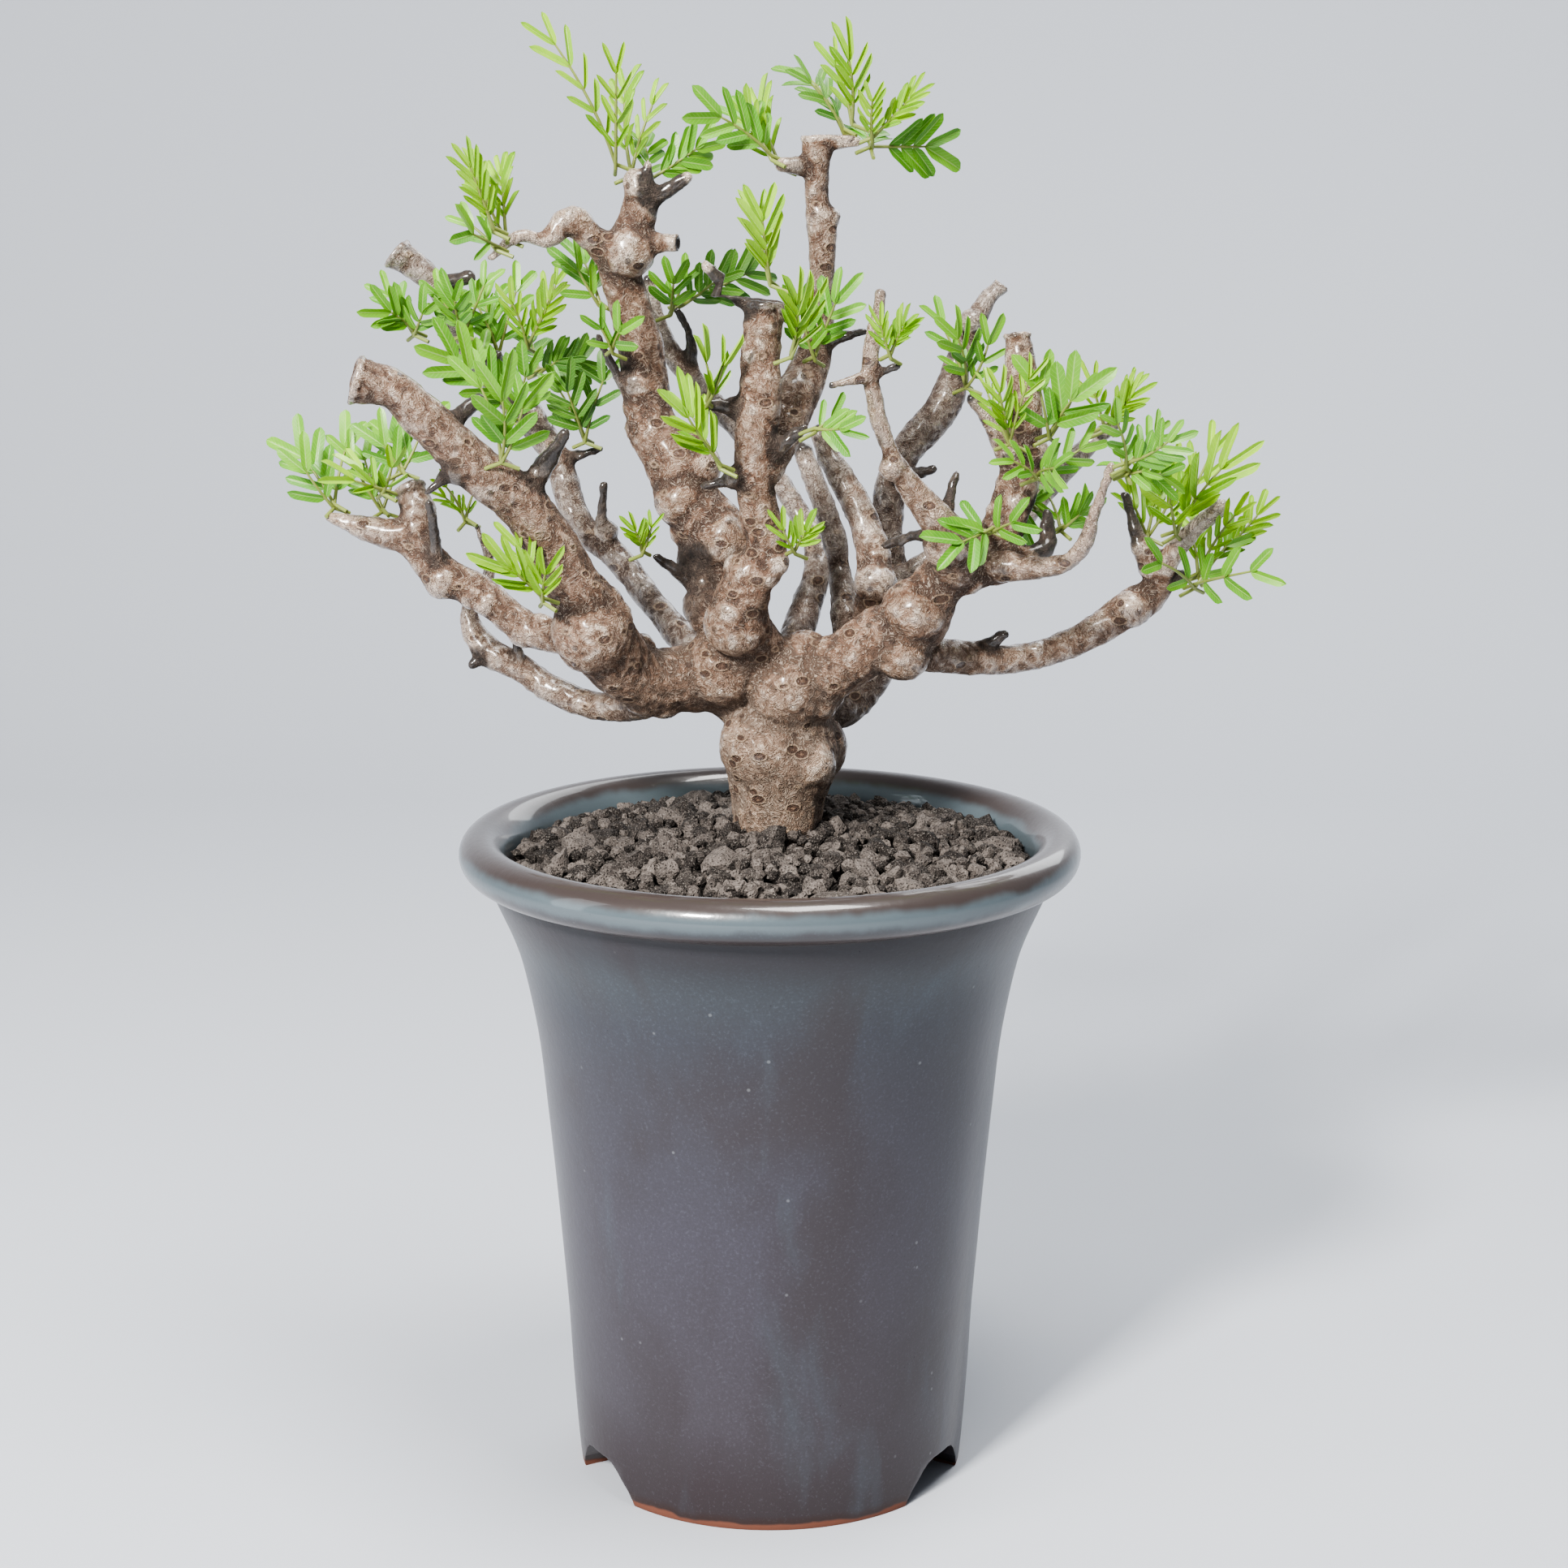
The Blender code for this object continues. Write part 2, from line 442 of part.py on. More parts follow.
def build_tree():
    """The tree, and the slightly swollen copy that makes room for it in the soil."""
    bark = make_material("bark", (0.36, 0.27, 0.2), 0.5)
    tree = place_mesh("tree", draw_limbs(), bark)
    skin_over(tree)
    tool = bpy.data.objects.new("tree_tool", tree.data.copy())
    bpy.context.scene.collection.objects.link(tool)
    skin_over(tool)
    swell = tool.modifiers.new("swell", "DISPLACE")
    swell.mid_level = 0
    swell.strength = ROOT_GAP * MM
    hide_tool(tool)
    return tool


def leaflet_points(root_along, spacing, length, degrees, side):
    """Edge of one leaflet as it leaves the stalk, in the leaf's own plane."""
    turn = math.radians(degrees)
    reach = Vector((math.cos(turn), math.sin(turn)))
    across = Vector((-math.sin(turn), math.cos(turn)))
    half_width = min(0.2 * length, 0.4 * spacing * math.sin(turn))
    root = Vector((root_along, STALK_HALF_WIDTH))
    back = root + reach * length * 0.55 + across * half_width
    front = root + reach * length * 0.55 - across * half_width
    edge = [root - Vector((0.45, 0)), back, root + reach * length, front, root + Vector((0.45, 0))]
    return [(point.x, side * point.y) for point in edge]


def leaf_outline(length, pairs, leaflet, degrees):
    bare = length * STALK_BARE_PART
    spacing = (length - bare - 0.55 * leaflet) / max(pairs - 1, 1)
    sides = []
    for side in (1, -1):
        edge = [(0, side * STALK_HALF_WIDTH)]
        for number in range(pairs):
            at = bare + number * spacing
            opening = degrees if number < pairs - 1 else degrees * 0.62
            edge += leaflet_points(at, spacing, leaflet * (1 - 0.05 * number), opening, side)
        sides.append(edge)
    return sides[0] + sides[1][::-1]


def build_leaf(name, row, materials):
    foot = Vector(row[0:3])
    tip = Vector(row[3:6])
    pairs, leaflet, roll, tone = row[6:]
    along = (tip - foot).normalized()
    front = Vector((0, -1, 0.25))
    across = front.cross(along).normalized()
    facing = along.cross(across)
    turn = Matrix((along, across, facing)).transposed() @ Matrix.Rotation(math.radians(roll), 3, "X")
    shape = bmesh.new()
    outline = leaf_outline((tip - foot).length, pairs, leaflet, LEAFLET_ANGLE_DEG[tone])
    face = shape.faces.new([shape.verts.new((u, v, -BLADE_THICKNESS / 2)) for u, v in outline])
    grown = bmesh.ops.extrude_face_region(shape, geom=[face])
    moved = [part for part in grown["geom"] if isinstance(part, bmesh.types.BMVert)]
    bmesh.ops.translate(shape, verts=moved, vec=(0, 0, BLADE_THICKNESS))
    bmesh.ops.recalc_face_normals(shape, faces=shape.faces)
    bmesh.ops.transform(shape, matrix=Matrix.Translation(foot) @ turn.to_4x4(), verts=shape.verts)
    place_mesh(name, shape, materials[tone], smooth=False)


def build_leaves():
    materials = {
        0: make_material("young_leaf", (0.27, 0.42, 0.06), 0.45),
        1: make_material("full_leaf", (0.13, 0.27, 0.06), 0.45),
        2: make_material("old_leaf", (0.06, 0.13, 0.05), 0.5),
    }
    for number, row in enumerate(leaf_rows(), start=1):
        build_leaf("leaf_%02d" % number, row, materials)


clear_scene()
build_pot()
build_drainage_mesh()
build_soil_and_gravel(build_tree())
build_leaves()
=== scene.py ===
import math
import random

import bmesh
import bpy
import numpy as np
from mathutils import Matrix, Vector, kdtree, noise


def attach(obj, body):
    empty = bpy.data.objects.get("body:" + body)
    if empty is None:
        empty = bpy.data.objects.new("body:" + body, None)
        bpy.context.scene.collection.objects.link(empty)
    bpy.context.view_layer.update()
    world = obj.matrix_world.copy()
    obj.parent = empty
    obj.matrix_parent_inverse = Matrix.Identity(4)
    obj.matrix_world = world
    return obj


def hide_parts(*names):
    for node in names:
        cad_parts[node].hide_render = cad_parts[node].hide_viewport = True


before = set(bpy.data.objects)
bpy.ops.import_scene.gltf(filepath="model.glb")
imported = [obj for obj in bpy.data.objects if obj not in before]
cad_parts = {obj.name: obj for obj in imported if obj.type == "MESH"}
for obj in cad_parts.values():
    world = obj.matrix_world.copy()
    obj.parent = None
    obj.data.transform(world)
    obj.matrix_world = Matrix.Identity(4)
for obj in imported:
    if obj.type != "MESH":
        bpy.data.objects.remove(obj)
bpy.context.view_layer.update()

# ---- Pot -------------------------------------------------------------------------------------
# A tall thrown stoneware pot with a rolled lip, dipped in a smoky slate glaze that breaks brown on
# the lip and pools pale under it. It stands on three feet cut from a bare terracotta foot ring.
MM = 0.001
POT_STEPS = 168
POT_OUTSIDE = [
    (47.3, 0), (47.6, 1.2), (48.4, 10), (49.4, 25), (50.2, 40), (51.6, 58), (53.0, 75), (54.6, 92),
    (56.2, 108), (58.2, 120), (60.4, 130), (62.6, 136.5), (65.0, 142), (67.2, 147), (68.0, 149.4),
]
LIP_CENTRE_RADIUS = 69.8
LIP_CENTRE_HEIGHT = 155.7
LIP_TUBE_RADIUS = 5.2
LIP_SWEEP_DEG = (-108, 146)
LIP_STEPS = 22
POT_INSIDE = [
    (64.2, 157), (63.2, 154.5), (61.2, 147), (57.6, 136), (53.6, 124), (50.0, 105), (46.5, 75), (44.0, 45),
    (42.8, 24), (40.8, 18.5), (38, 16.4), (30, 16), (6.5, 16), (6, 15.5), (6, 9), (6.5, 8.5), (35.5, 8.5),
    (37.5, 7.8), (38.4, 6), (41.2, 0.5), (41.8, 0),
]
ARCH_DIRECTIONS_DEG = [-30, 210, 90]
ARCH_OUTLINE = [
    (-13.5, -1), (13.5, -1), (12.9, 1.2), (11.6, 3.4), (9.6, 5.6), (7.9, 7.5), (6.0, 8.9), (3.6, 9.5),
    (-3.6, 9.5), (-6.0, 8.9), (-7.9, 7.5), (-9.6, 5.6), (-11.6, 3.4), (-12.9, 1.2),
]
ARCH_REACH = (30, 60)
FOOT_EDGE_ROUNDING = 0.5
FOOT_EDGE_SHARPER_THAN_DEG = 50


class Wires:
    """Short words for wiring nodes inside a material or a shader node group."""

    def __init__(self, tree):
        self.tree = tree

    def add(self, kind, sources=(), **settings):
        node = self.tree.nodes.new("ShaderNode" + kind)
        for name, value in settings.items():
            setattr(node, name, value)
        for socket, value in dict(sources).items():
            target = node.inputs[socket]
            if isinstance(value, bpy.types.NodeSocket):
                self.tree.links.new(value, target)
            else:
                target.default_value = value
        return node

    def place(self, stretch=(1, 1, 1)):
        coords = self.add("TexCoord").outputs["Object"]
        return self.add("Mapping", {"Vector": coords, "Scale": stretch}).outputs["Vector"]

    def grain(self, place, scale, detail=3.0, rough=0.5, warp=0.0):
        sources = {"Vector": place, "Scale": scale, "Detail": detail, "Roughness": rough, "Distortion": warp}
        return self.add("TexNoise", sources).outputs["Fac"]

    def height(self):
        coords = self.add("TexCoord").outputs["Object"]
        return self.add("SeparateXYZ", {"Vector": coords}).outputs["Z"]

    def cells(self, place, scale):
        """Scattered cells: how far each point is from a cell's middle, and the cell's own colour."""
        return self.add("TexVoronoi", {"Vector": place, "Scale": scale}).outputs

    def lot(self, cells, channel):
        """A number that each cell has drawn, from one channel of its colour."""
        return self.add("SeparateColor", {"Color": cells["Color"]}).outputs[channel]

    def reading(self, name):
        return self.add("Attribute", attribute_name=name, attribute_type="GEOMETRY").outputs["Fac"]

    def maths(self, operation, first, second=0.0, third=0.0):
        return self.add("Math", {0: first, 1: second, 2: third}, operation=operation).outputs[0]

    def times(self, first, second):
        return self.maths("MULTIPLY", first, second)

    def sway(self, field, depth, base, middle=0.5):
        """A base value pushed up and down by a field of noise."""
        return self.maths("MULTIPLY_ADD", self.maths("SUBTRACT", field, middle), depth, base)

    def span(self, value, low, high, start=0.0, end=1.0):
        sources = {"Value": value, "From Min": low, "From Max": high, "To Min": start, "To Max": end}
        return self.add("MapRange", sources, interpolation_type="SMOOTHSTEP").outputs[0]

    def ramp(self, value, stops):
        node = self.add("ValToRGB", {"Fac": value})
        marks = node.color_ramp.elements
        while len(marks) < len(stops):
            marks.new(0.5)
        for mark, (where, colour) in zip(marks, stops):
            mark.position = where
            mark.color = (*colour, 1)
        return node.outputs["Color"]

    def mix(self, share, first, second, mode="MIX"):
        node = self.add("Mix", {"Factor": share}, data_type="RGBA", blend_type=mode)
        for socket, value in ((node.inputs[6], first), (node.inputs[7], second)):
            if isinstance(value, bpy.types.NodeSocket):
                self.tree.links.new(value, socket)
            else:
                socket.default_value = (*value, 1)
        return node.outputs[2]

    def bump(self, height, strength, depth, under=None):
        sources = {"Height": height, "Strength": strength, "Distance": depth}
        if under is not None:
            sources["Normal"] = under
        return self.add("Bump", sources).outputs["Normal"]


def new_finish(name, **plain):
    """A material with its Principled shader's plain sockets set, and the wires to work on it."""
    material = bpy.data.materials.new(name)
    material.use_nodes = True
    shader = material.node_tree.nodes["Principled BSDF"]
    for socket, value in plain.items():
        shader.inputs[socket.replace("_", " ")].default_value = value
    return material, Wires(material.node_tree), shader


def connect(wires, shader, **sockets):
    for socket, source in sockets.items():
        wires.tree.links.new(source, shader.inputs[socket.replace("_", " ")])


def smooth_line(points, steps):
    """A soft curve through a few points, for profiles and limbs."""
    knots = [Vector(point) for point in points]
    knots = [2 * knots[0] - knots[1]] + knots + [2 * knots[-1] - knots[-2]]
    line = []
    for a, b, c, d in zip(knots, knots[1:], knots[2:], knots[3:]):
        for step in range(steps):
            t = step / steps
            bend = 2 * a - 5 * b + 4 * c - d
            twist = 3 * b - a - 3 * c + d
            line.append(0.5 * (2 * b + (c - a) * t + bend * t * t + twist * t * t * t))
    return line + [knots[-2]]


def resize(shape, factor):
    bmesh.ops.scale(shape, vec=(factor, factor, factor), verts=shape.verts)


def to_mesh(name, shape):
    mesh = bpy.data.meshes.new(name)
    shape.to_mesh(mesh)
    shape.free()
    return mesh


def join_shape(shape, part):
    """Add one bmesh to another and free it."""
    mesh = to_mesh("part", part)
    shape.from_mesh(mesh)
    bpy.data.meshes.remove(mesh)


def put_in_scene(name, data):
    thing = bpy.data.objects.new(name, data)
    bpy.context.scene.collection.objects.link(thing)
    return thing


def finish_piece(name, shape, material, nodes=(), sharp_deg=40):
    """Turn a bmesh in millimetres into a piece of the model that rides on the one body."""
    resize(shape, MM)
    mesh = to_mesh(name, shape)
    mesh.materials.append(material)
    mesh.shade_smooth()
    mesh.set_sharp_from_angle(angle=math.radians(sharp_deg))
    piece = put_in_scene(name, mesh)
    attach(piece, "root")
    if nodes:
        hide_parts(*nodes)
    return piece


def turn_profile(profile, closed, steps):
    shape = bmesh.new()
    points = [shape.verts.new((radius, 0, height)) for radius, height in profile]
    pairs = list(zip(points, points[1:]))
    if closed:
        pairs.append((points[-1], points[0]))
    edges = [shape.edges.new(pair) for pair in pairs]
    bmesh.ops.spin(
        shape, geom=points + edges, axis=(0, 0, 1), cent=(0, 0, 0),
        angle=math.tau, steps=steps, use_merge=True)
    bmesh.ops.remove_doubles(shape, verts=shape.verts, dist=0.005)
    bmesh.ops.recalc_face_normals(shape, faces=shape.faces)
    return shape


def glaze_finish():
    material, wires, shader = new_finish("slate_glaze", IOR=1.42, Coat_Roughness=0.07)
    place = wires.place()
    height = wires.height()
    cloud = wires.grain(wires.place((1, 1, 0.55)), 26, 4, 0.55, 0.6)
    drift = wires.grain(wires.place((1, 1, 0.3)), 60, 3, 0.6, 0.3)
    level = wires.sway(cloud, 0.022, height)
    body = wires.ramp(wires.span(level, 0.0, 0.165), [
        (0.0, (0.03, 0.02, 0.022)), (0.06, (0.048, 0.041, 0.05)), (0.4, (0.05, 0.046, 0.06)),
        (0.72, (0.042, 0.041, 0.052)), (0.84, (0.038, 0.041, 0.052)), (0.93, (0.044, 0.052, 0.06))])
    body = wires.mix(wires.span(cloud, 0.42, 0.66, 0, 0.7), body, (0.034, 0.026, 0.028))
    body = wires.mix(wires.span(drift, 0.52, 0.76, 0, 0.35), body, (0.066, 0.088, 0.11))
    fine = wires.grain(place, 1500, 2, 0.7)
    body = wires.mix(wires.span(fine, 0.3, 0.7, 0.34, 0.0), body, (0.03, 0.026, 0.028))
    body = wires.mix(wires.span(fine, 0.55, 0.75, 0.0, 0.14), body, (0.15, 0.17, 0.2))
    specks = wires.cells(place, 230)
    pick = wires.lot(specks, 0)
    white = wires.times(wires.span(specks["Distance"], 0.13, 0.05), wires.span(pick, 0.9, 0.92))
    body = wires.mix(wires.times(white, 0.16), body, (0.5, 0.53, 0.55))
    # Painted shade: the glaze is darkened in a band under the rolled lip, most of all in the crease where the
    # lip meets the body.
    shade = wires.times(wires.span(height, 0.134, 0.147, 0, 0.75), wires.span(height, 0.1545, 0.152))
    body = wires.mix(shade, body, (0.022, 0.018, 0.021))
    lip_crease_shade = wires.times(wires.span(height, 0.1492, 0.1504), wires.span(height, 0.1532, 0.1514))
    body = wires.mix(lip_crease_shade, body, (0.035, 0.022, 0.019))
    edge = wires.sway(drift, 0.004, height)
    body = wires.mix(wires.span(edge, 0.1528, 0.155, 0, 0.85), body, (0.09, 0.115, 0.128))
    body = wires.mix(wires.span(edge, 0.1566, 0.1588, 0, 0.92), body, (0.04, 0.027, 0.023))
    bare = wires.span(edge, 0.0019, 0.0011)
    body = wires.mix(wires.span(edge, 0.0042, 0.0018, 0, 0.8), body, (0.03, 0.015, 0.012))
    body = wires.mix(bare, body, (0.15, 0.055, 0.033))
    rough = wires.mix(bare, wires.mix(fine, (0.24, 0.24, 0.24), (0.38, 0.38, 0.38)), (0.8, 0.8, 0.8))
    skin = wires.bump(wires.grain(place, 420, 2, 0.5), 0.12, 0.0004)
    skin = wires.bump(fine, 0.1, 0.0002, skin)
    coat = wires.span(edge, 0.148, 0.153, 0.05, 0.7)
    connect(wires, shader, Base_Color=body, Roughness=rough, Normal=skin, Coat_Weight=coat)
    return material


def build_pot():
    lip = []
    for step in range(LIP_STEPS + 1):
        turn = math.radians(LIP_SWEEP_DEG[0] + (LIP_SWEEP_DEG[1] - LIP_SWEEP_DEG[0]) * step / LIP_STEPS)
        lip.append((
            LIP_CENTRE_RADIUS + LIP_TUBE_RADIUS * math.cos(turn),
            LIP_CENTRE_HEIGHT + LIP_TUBE_RADIUS * math.sin(turn)))
    outside = [(point.x, point.y) for point in smooth_line(POT_OUTSIDE, 3)]
    material = glaze_finish()
    shape = turn_profile(outside + lip + POT_INSIDE, closed=True, steps=POT_STEPS)
    pot = finish_piece("glazed_pot", shape, material, ["pot"], sharp_deg=55)
    for number, degrees in enumerate(ARCH_DIRECTIONS_DEG, start=1):
        shape = bmesh.new()
        face = shape.faces.new([shape.verts.new((ARCH_REACH[0], across, up)) for across, up in ARCH_OUTLINE])
        grown = bmesh.ops.extrude_face_region(shape, geom=[face])
        moved = [part for part in grown["geom"] if isinstance(part, bmesh.types.BMVert)]
        bmesh.ops.translate(shape, verts=moved, vec=(ARCH_REACH[1] - ARCH_REACH[0], 0, 0))
        bmesh.ops.recalc_face_normals(shape, faces=shape.faces)
        turn = Matrix.Rotation(math.radians(degrees), 3, "Z")
        bmesh.ops.rotate(shape, cent=(0, 0, 0), matrix=turn, verts=shape.verts)
        resize(shape, MM)
        name = "arch_cutter_%d" % number
        tool = put_in_scene(name, to_mesh(name, shape))
        tool.hide_render = True
        tool.hide_viewport = True
        cut = pot.modifiers.new("arch", "BOOLEAN")
        cut.operation = "DIFFERENCE"
        cut.solver = "EXACT"
        cut.object = tool
    soften = pot.modifiers.new("soften", "BEVEL")
    soften.width = FOOT_EDGE_ROUNDING * MM
    soften.segments = 2
    soften.limit_method = "ANGLE"
    soften.angle_limit = math.radians(FOOT_EDGE_SHARPER_THAN_DEG)
    settle(pot)


def settle(piece):
    """Keep a piece's modified mesh, with its tools removed."""
    tools = [step.object for step in piece.modifiers if step.type == "BOOLEAN"]
    bpy.context.view_layer.update()
    mesh = bpy.data.meshes.new_from_object(piece.evaluated_get(bpy.context.evaluated_depsgraph_get()))
    piece.modifiers.clear()
    mesh.name = piece.name
    piece.data = mesh
    for tool in tools:
        bpy.data.objects.remove(tool)


build_pot()

# ---- Soil, drainage mesh and lava gravel ----------------------------------------------------
# Inside the pot a square of plastic mesh lies over the drain hole and gritty soil fills the pot up
# to a finger below the lip. Loose porous lava gravel is poured over the soil and round the trunk.
GRAIN_SEED = 41
# smallest and largest half size, number, height against the surface, spacing
GRAIN_LAYERS = [(2.9, 6.4, 330, -1.6, 0.78), (1.3, 3.0, 900, -0.9, 0.72), (2.6, 5.0, 420, -5.4, 0.9)]
GRAVEL_SURFACE = [(0, 162.5), (14, 162), (28, 160.3), (42, 158.5), (54, 156.8), (62.6, 155.2)]
GRAVEL_RIM = 62.4
TRUNK_PLACE = (2, 0)
TRUNK_KEEP_CLEAR = 8.0
BED_DROP = 5.5
BED_FLOOR = 143
TRIES_PER_GRAIN = 14
FACET_LEVEL = 0.72    # where a stone is knocked flat, as a share of its half size
FACET_DEPTH = 0.85
FACET_AXES = [Vector(way).normalized() for way in (
    (1, 0.3, 0.2), (-0.4, 1, 0.5), (0.2, -0.5, 1), (1, 1, -1), (-1, -0.6, 0.3), (0.1, -1, -0.6))]


def new_group(name, colours, numbers=()):
    """A shader group that makes a colour and a bump height out of the colours and numbers given."""
    group = bpy.data.node_groups.new(name, "ShaderNodeTree")
    sockets = [(socket, "INPUT", "Color") for socket in colours]
    sockets += [(socket, "INPUT", "Float") for socket in numbers]
    sockets += [("Color", "OUTPUT", "Color"), ("Height", "OUTPUT", "Float")]
    for socket, way, kind in sockets:
        group.interface.new_socket(socket, in_out=way, socket_type="NodeSocket" + kind)
    given = group.nodes.new("NodeGroupInput").outputs
    result = group.nodes.new("NodeGroupOutput").inputs
    return group, Wires(group), given, result


def stone_group():
    """Porous stone: mottled colour, dark pores and a pitted height."""
    group, wires, given, result = new_group("porous_stone", ("Dark", "Light"), ("Tint",))
    place = wires.place()
    mottle = wires.grain(place, 420, 5, 0.7, 0.4)
    pores = wires.cells(place, 1500)["Distance"]
    share = wires.sway(given["Tint"], 0.75, mottle)
    colour = wires.mix(wires.span(share, 0.15, 0.85), given["Dark"], given["Light"])
    deep = wires.mix(0.8, colour, (0.02, 0.016, 0.014), "MULTIPLY")
    colour = wires.mix(wires.span(pores, 0.28, 0.12, 0.0, 0.75), colour, deep)
    dust = wires.grain(place, 2600, 2, 0.6)
    colour = wires.mix(wires.span(dust, 0.52, 0.7, 0, 0.35), colour, (0.42, 0.38, 0.34))
    group.links.new(colour, result["Color"])
    rise = wires.maths("MULTIPLY_ADD", wires.span(pores, 0.1, 0.45), 0.6, mottle)
    group.links.new(rise, result["Height"])
    return group


PORES = stone_group()


def stone_finish(name, dark, light, depth):
    material, wires, shader = new_finish(name, Roughness=0.92, Specular_IOR_Level=0.25)
    given = {"Dark": (*dark, 1), "Light": (*light, 1), "Tint": wires.reading("tint")}
    stone = wires.add("Group", given, node_tree=PORES)
    connect(wires, shader, Base_Color=stone.outputs["Color"],
            Normal=wires.bump(stone.outputs["Height"], 0.8, depth))
    return material


def surface_height(radius):
    for (inner, high), (outer, low) in zip(GRAVEL_SURFACE, GRAVEL_SURFACE[1:]):
        if radius <= outer:
            return high + (low - high) * (radius - inner) / (outer - inner)
    return GRAVEL_SURFACE[-1][1]


def make_grain(dice, centre, size):
    """One stone: a ball of 80 faces, lumped, knocked flat on a few sides and turned at random."""
    stone = bmesh.new()
    tint_layer = stone.verts.layers.float.new("tint")
    made = bmesh.ops.create_icosphere(stone, subdivisions=2, radius=1.0)["verts"]
    stretch = Vector((dice.uniform(0.8, 1.25), dice.uniform(0.75, 1.1), dice.uniform(0.6, 0.9)))
    offset = Vector((dice.uniform(-50, 50), dice.uniform(-50, 50), dice.uniform(-50, 50)))
    turn = dice.uniform(0, math.tau)
    tilt = Matrix.Rotation(turn, 3, Vector((dice.gauss(0, 1), dice.gauss(0, 1), 1)).normalized())
    tint = dice.uniform(0.0, 1.0) ** 1.2
    for vert in made:
        way = vert.co.normalized()
        lump = 1 + 0.5 * noise.noise(way * 1.25 + offset) + 0.34 * noise.noise(way * 3.1 + offset)
        spot = way * lump
        for axis in FACET_AXES:
            over = spot.dot(axis) - FACET_LEVEL
            if over > 0:
                spot = spot - axis * over * FACET_DEPTH
        vert.co = Vector(centre) + tilt @ Vector([a * b for a, b in zip(spot, stretch)]) * size
        vert[tint_layer] = tint
    return stone


def build_gravel():
    dice = random.Random(GRAIN_SEED)
    shape = bmesh.new()
    for smallest, largest, wanted, drop, spacing in GRAIN_LAYERS:
        kept = []
        for _ in range(wanted * TRIES_PER_GRAIN):
            if len(kept) >= wanted:
                break
            size = smallest + (largest - smallest) * dice.random() ** 1.8
            reach = (GRAVEL_RIM - 0.75 * size) * math.sqrt(dice.random())
            turn = dice.uniform(0, math.tau)
            x, y = reach * math.cos(turn), reach * math.sin(turn)
            if math.hypot(x - TRUNK_PLACE[0], y - TRUNK_PLACE[1]) < TRUNK_KEEP_CLEAR + 0.75 * size:
                continue
            if any(math.hypot(x - u, y - v) < spacing * (size + other) for u, v, other in kept):
                continue
            kept.append((x, y, size))
            height = surface_height(reach) + drop - 0.25 * size + dice.uniform(-0.8, 0.8)
            join_shape(shape, make_grain(dice, (x, y, height), size))
    stones = stone_finish("lava_gravel", (0.02, 0.016, 0.014), (0.13, 0.11, 0.098), 0.0012)
    finish_piece("gravel_grains", shape, stones, ["gravel_topping"], sharp_deg=24)

    # A dark sheet a little below the top of the gravel: painted shade that shows in the gaps between the
    # grains.
    bed = [(0, BED_FLOOR), (GRAVEL_RIM - 8, BED_FLOOR)]
    bed += [(radius, height - BED_DROP) for radius, height in GRAVEL_SURFACE[::-1]]
    shape = turn_profile(bed, closed=False, steps=72)
    under = stone_finish("gravel_shade", (0.008, 0.006, 0.005), (0.03, 0.025, 0.02), 0.0008)
    finish_piece("gravel_gap_shade", shape, under)


def finish_carried_nodes():
    soil = stone_finish("potting_soil", (0.02, 0.012, 0.008), (0.09, 0.06, 0.04), 0.001)
    plastic, wires, shader = new_finish("mesh_plastic", Roughness=0.55)
    scuff = wires.grain(wires.place(), 700, 3, 0.6)
    connect(wires, shader, Base_Color=wires.mix(scuff, (0.012, 0.012, 0.012), (0.035, 0.035, 0.035)),
            Normal=wires.bump(scuff, 0.2, 0.0002))
    for node, finish in (("soil_mix", soil), ("drainage_mesh", plastic)):
        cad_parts[node].data.materials.clear()
        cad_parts[node].data.materials.append(finish)


build_gravel()
finish_carried_nodes()


# ---- Tree ------------------------------------------------------------------------------------
# One living plant: a stout swollen trunk, many short pruned limbs and the roots under the gravel.
# Its bark is pale and glossy on the swellings, brown in the creases, grey on the older limbs at the
# back, reddish on young shoots and black on dead twigs; its colour also carries a painted highlight
# on the swellings and painted shade in the deep creases. Oval breathing pores dot the trunk.
SKIN_CELL = 0.72
TREE_TRIANGLES = 192000
TREE_SEED = 7
KNOB_SWELL = 1.07
THINNEST_WOOD = 0.75
# A sawn end, in shares of the limb's radius: how far it reaches, its rim, its hollow and its flare.
SAW_REACH, SAW_LEVEL, SAW_HOLLOW, SAW_HOLLOW_RADIUS, SAW_FLARE = 2.4, 0.42, 0.28, 0.72, 0.14
GREY_LIMBS = {
    "left_back": 1.0, "left_high": 1.0, "back_limb": 0.95, "right_back": 0.9, "right_inner": 0.8,
    "right_back_low": 0.9, "right_mid": 0.35, "left_back_low": 0.35, "top_limb": 0.15,
}
RUDDY_LIMBS = {
    "right_front_rise": 0.8, "right_front_tip": 1.0, "right_front_fork": 1.0, "left_limb_rise": 0.55,
    "left_low": 0.6, "right_low": 0.45, "left_back_low": 0.5, "right_pole": 0.35, "winding": 0.25,
    "top_limb": 0.45, "left_low_top": 0.6, "winding_left": 0.3, "right_pole_left": 0.4,
}
DEAD_LIMBS = {
    "winding_dead": 0.9, "winding_peak": 0.9, "front_dead": 0.85, "top_left_stub": 0.5, "top_arm": 0.25,
    "left_low_top": 0.4,
}
# How dark each limb's cut end has gone.
CUT_END_CHAR = {
    "left_high": 0.5, "left_low": 0.5, "left_low_top": 1.0, "winding_right_stub": 0.8, "front_limb": 0.45,
    "left_back": 0.9, "right_pole_left": 0.9, "right_mid": 0.7, "right_inner": 0.8, "right_front_rise": 0.5,
    "left_limb_rise": 0.4, "right_back": 0.6, "right_pole": 0.5, "top_limb": 0.35,
    "right_low": 0.7, "back_limb": 0.9, "right_back_low": 0.4, "left_back_low": 0.8, "right_front_fork": 0.9,
}
SAWN_LIMBS = [
    "left_limb_rise", "left_high", "front_limb", "right_back", "right_pole", "winding_right_stub", "top_limb",
    "left_low_top",
]
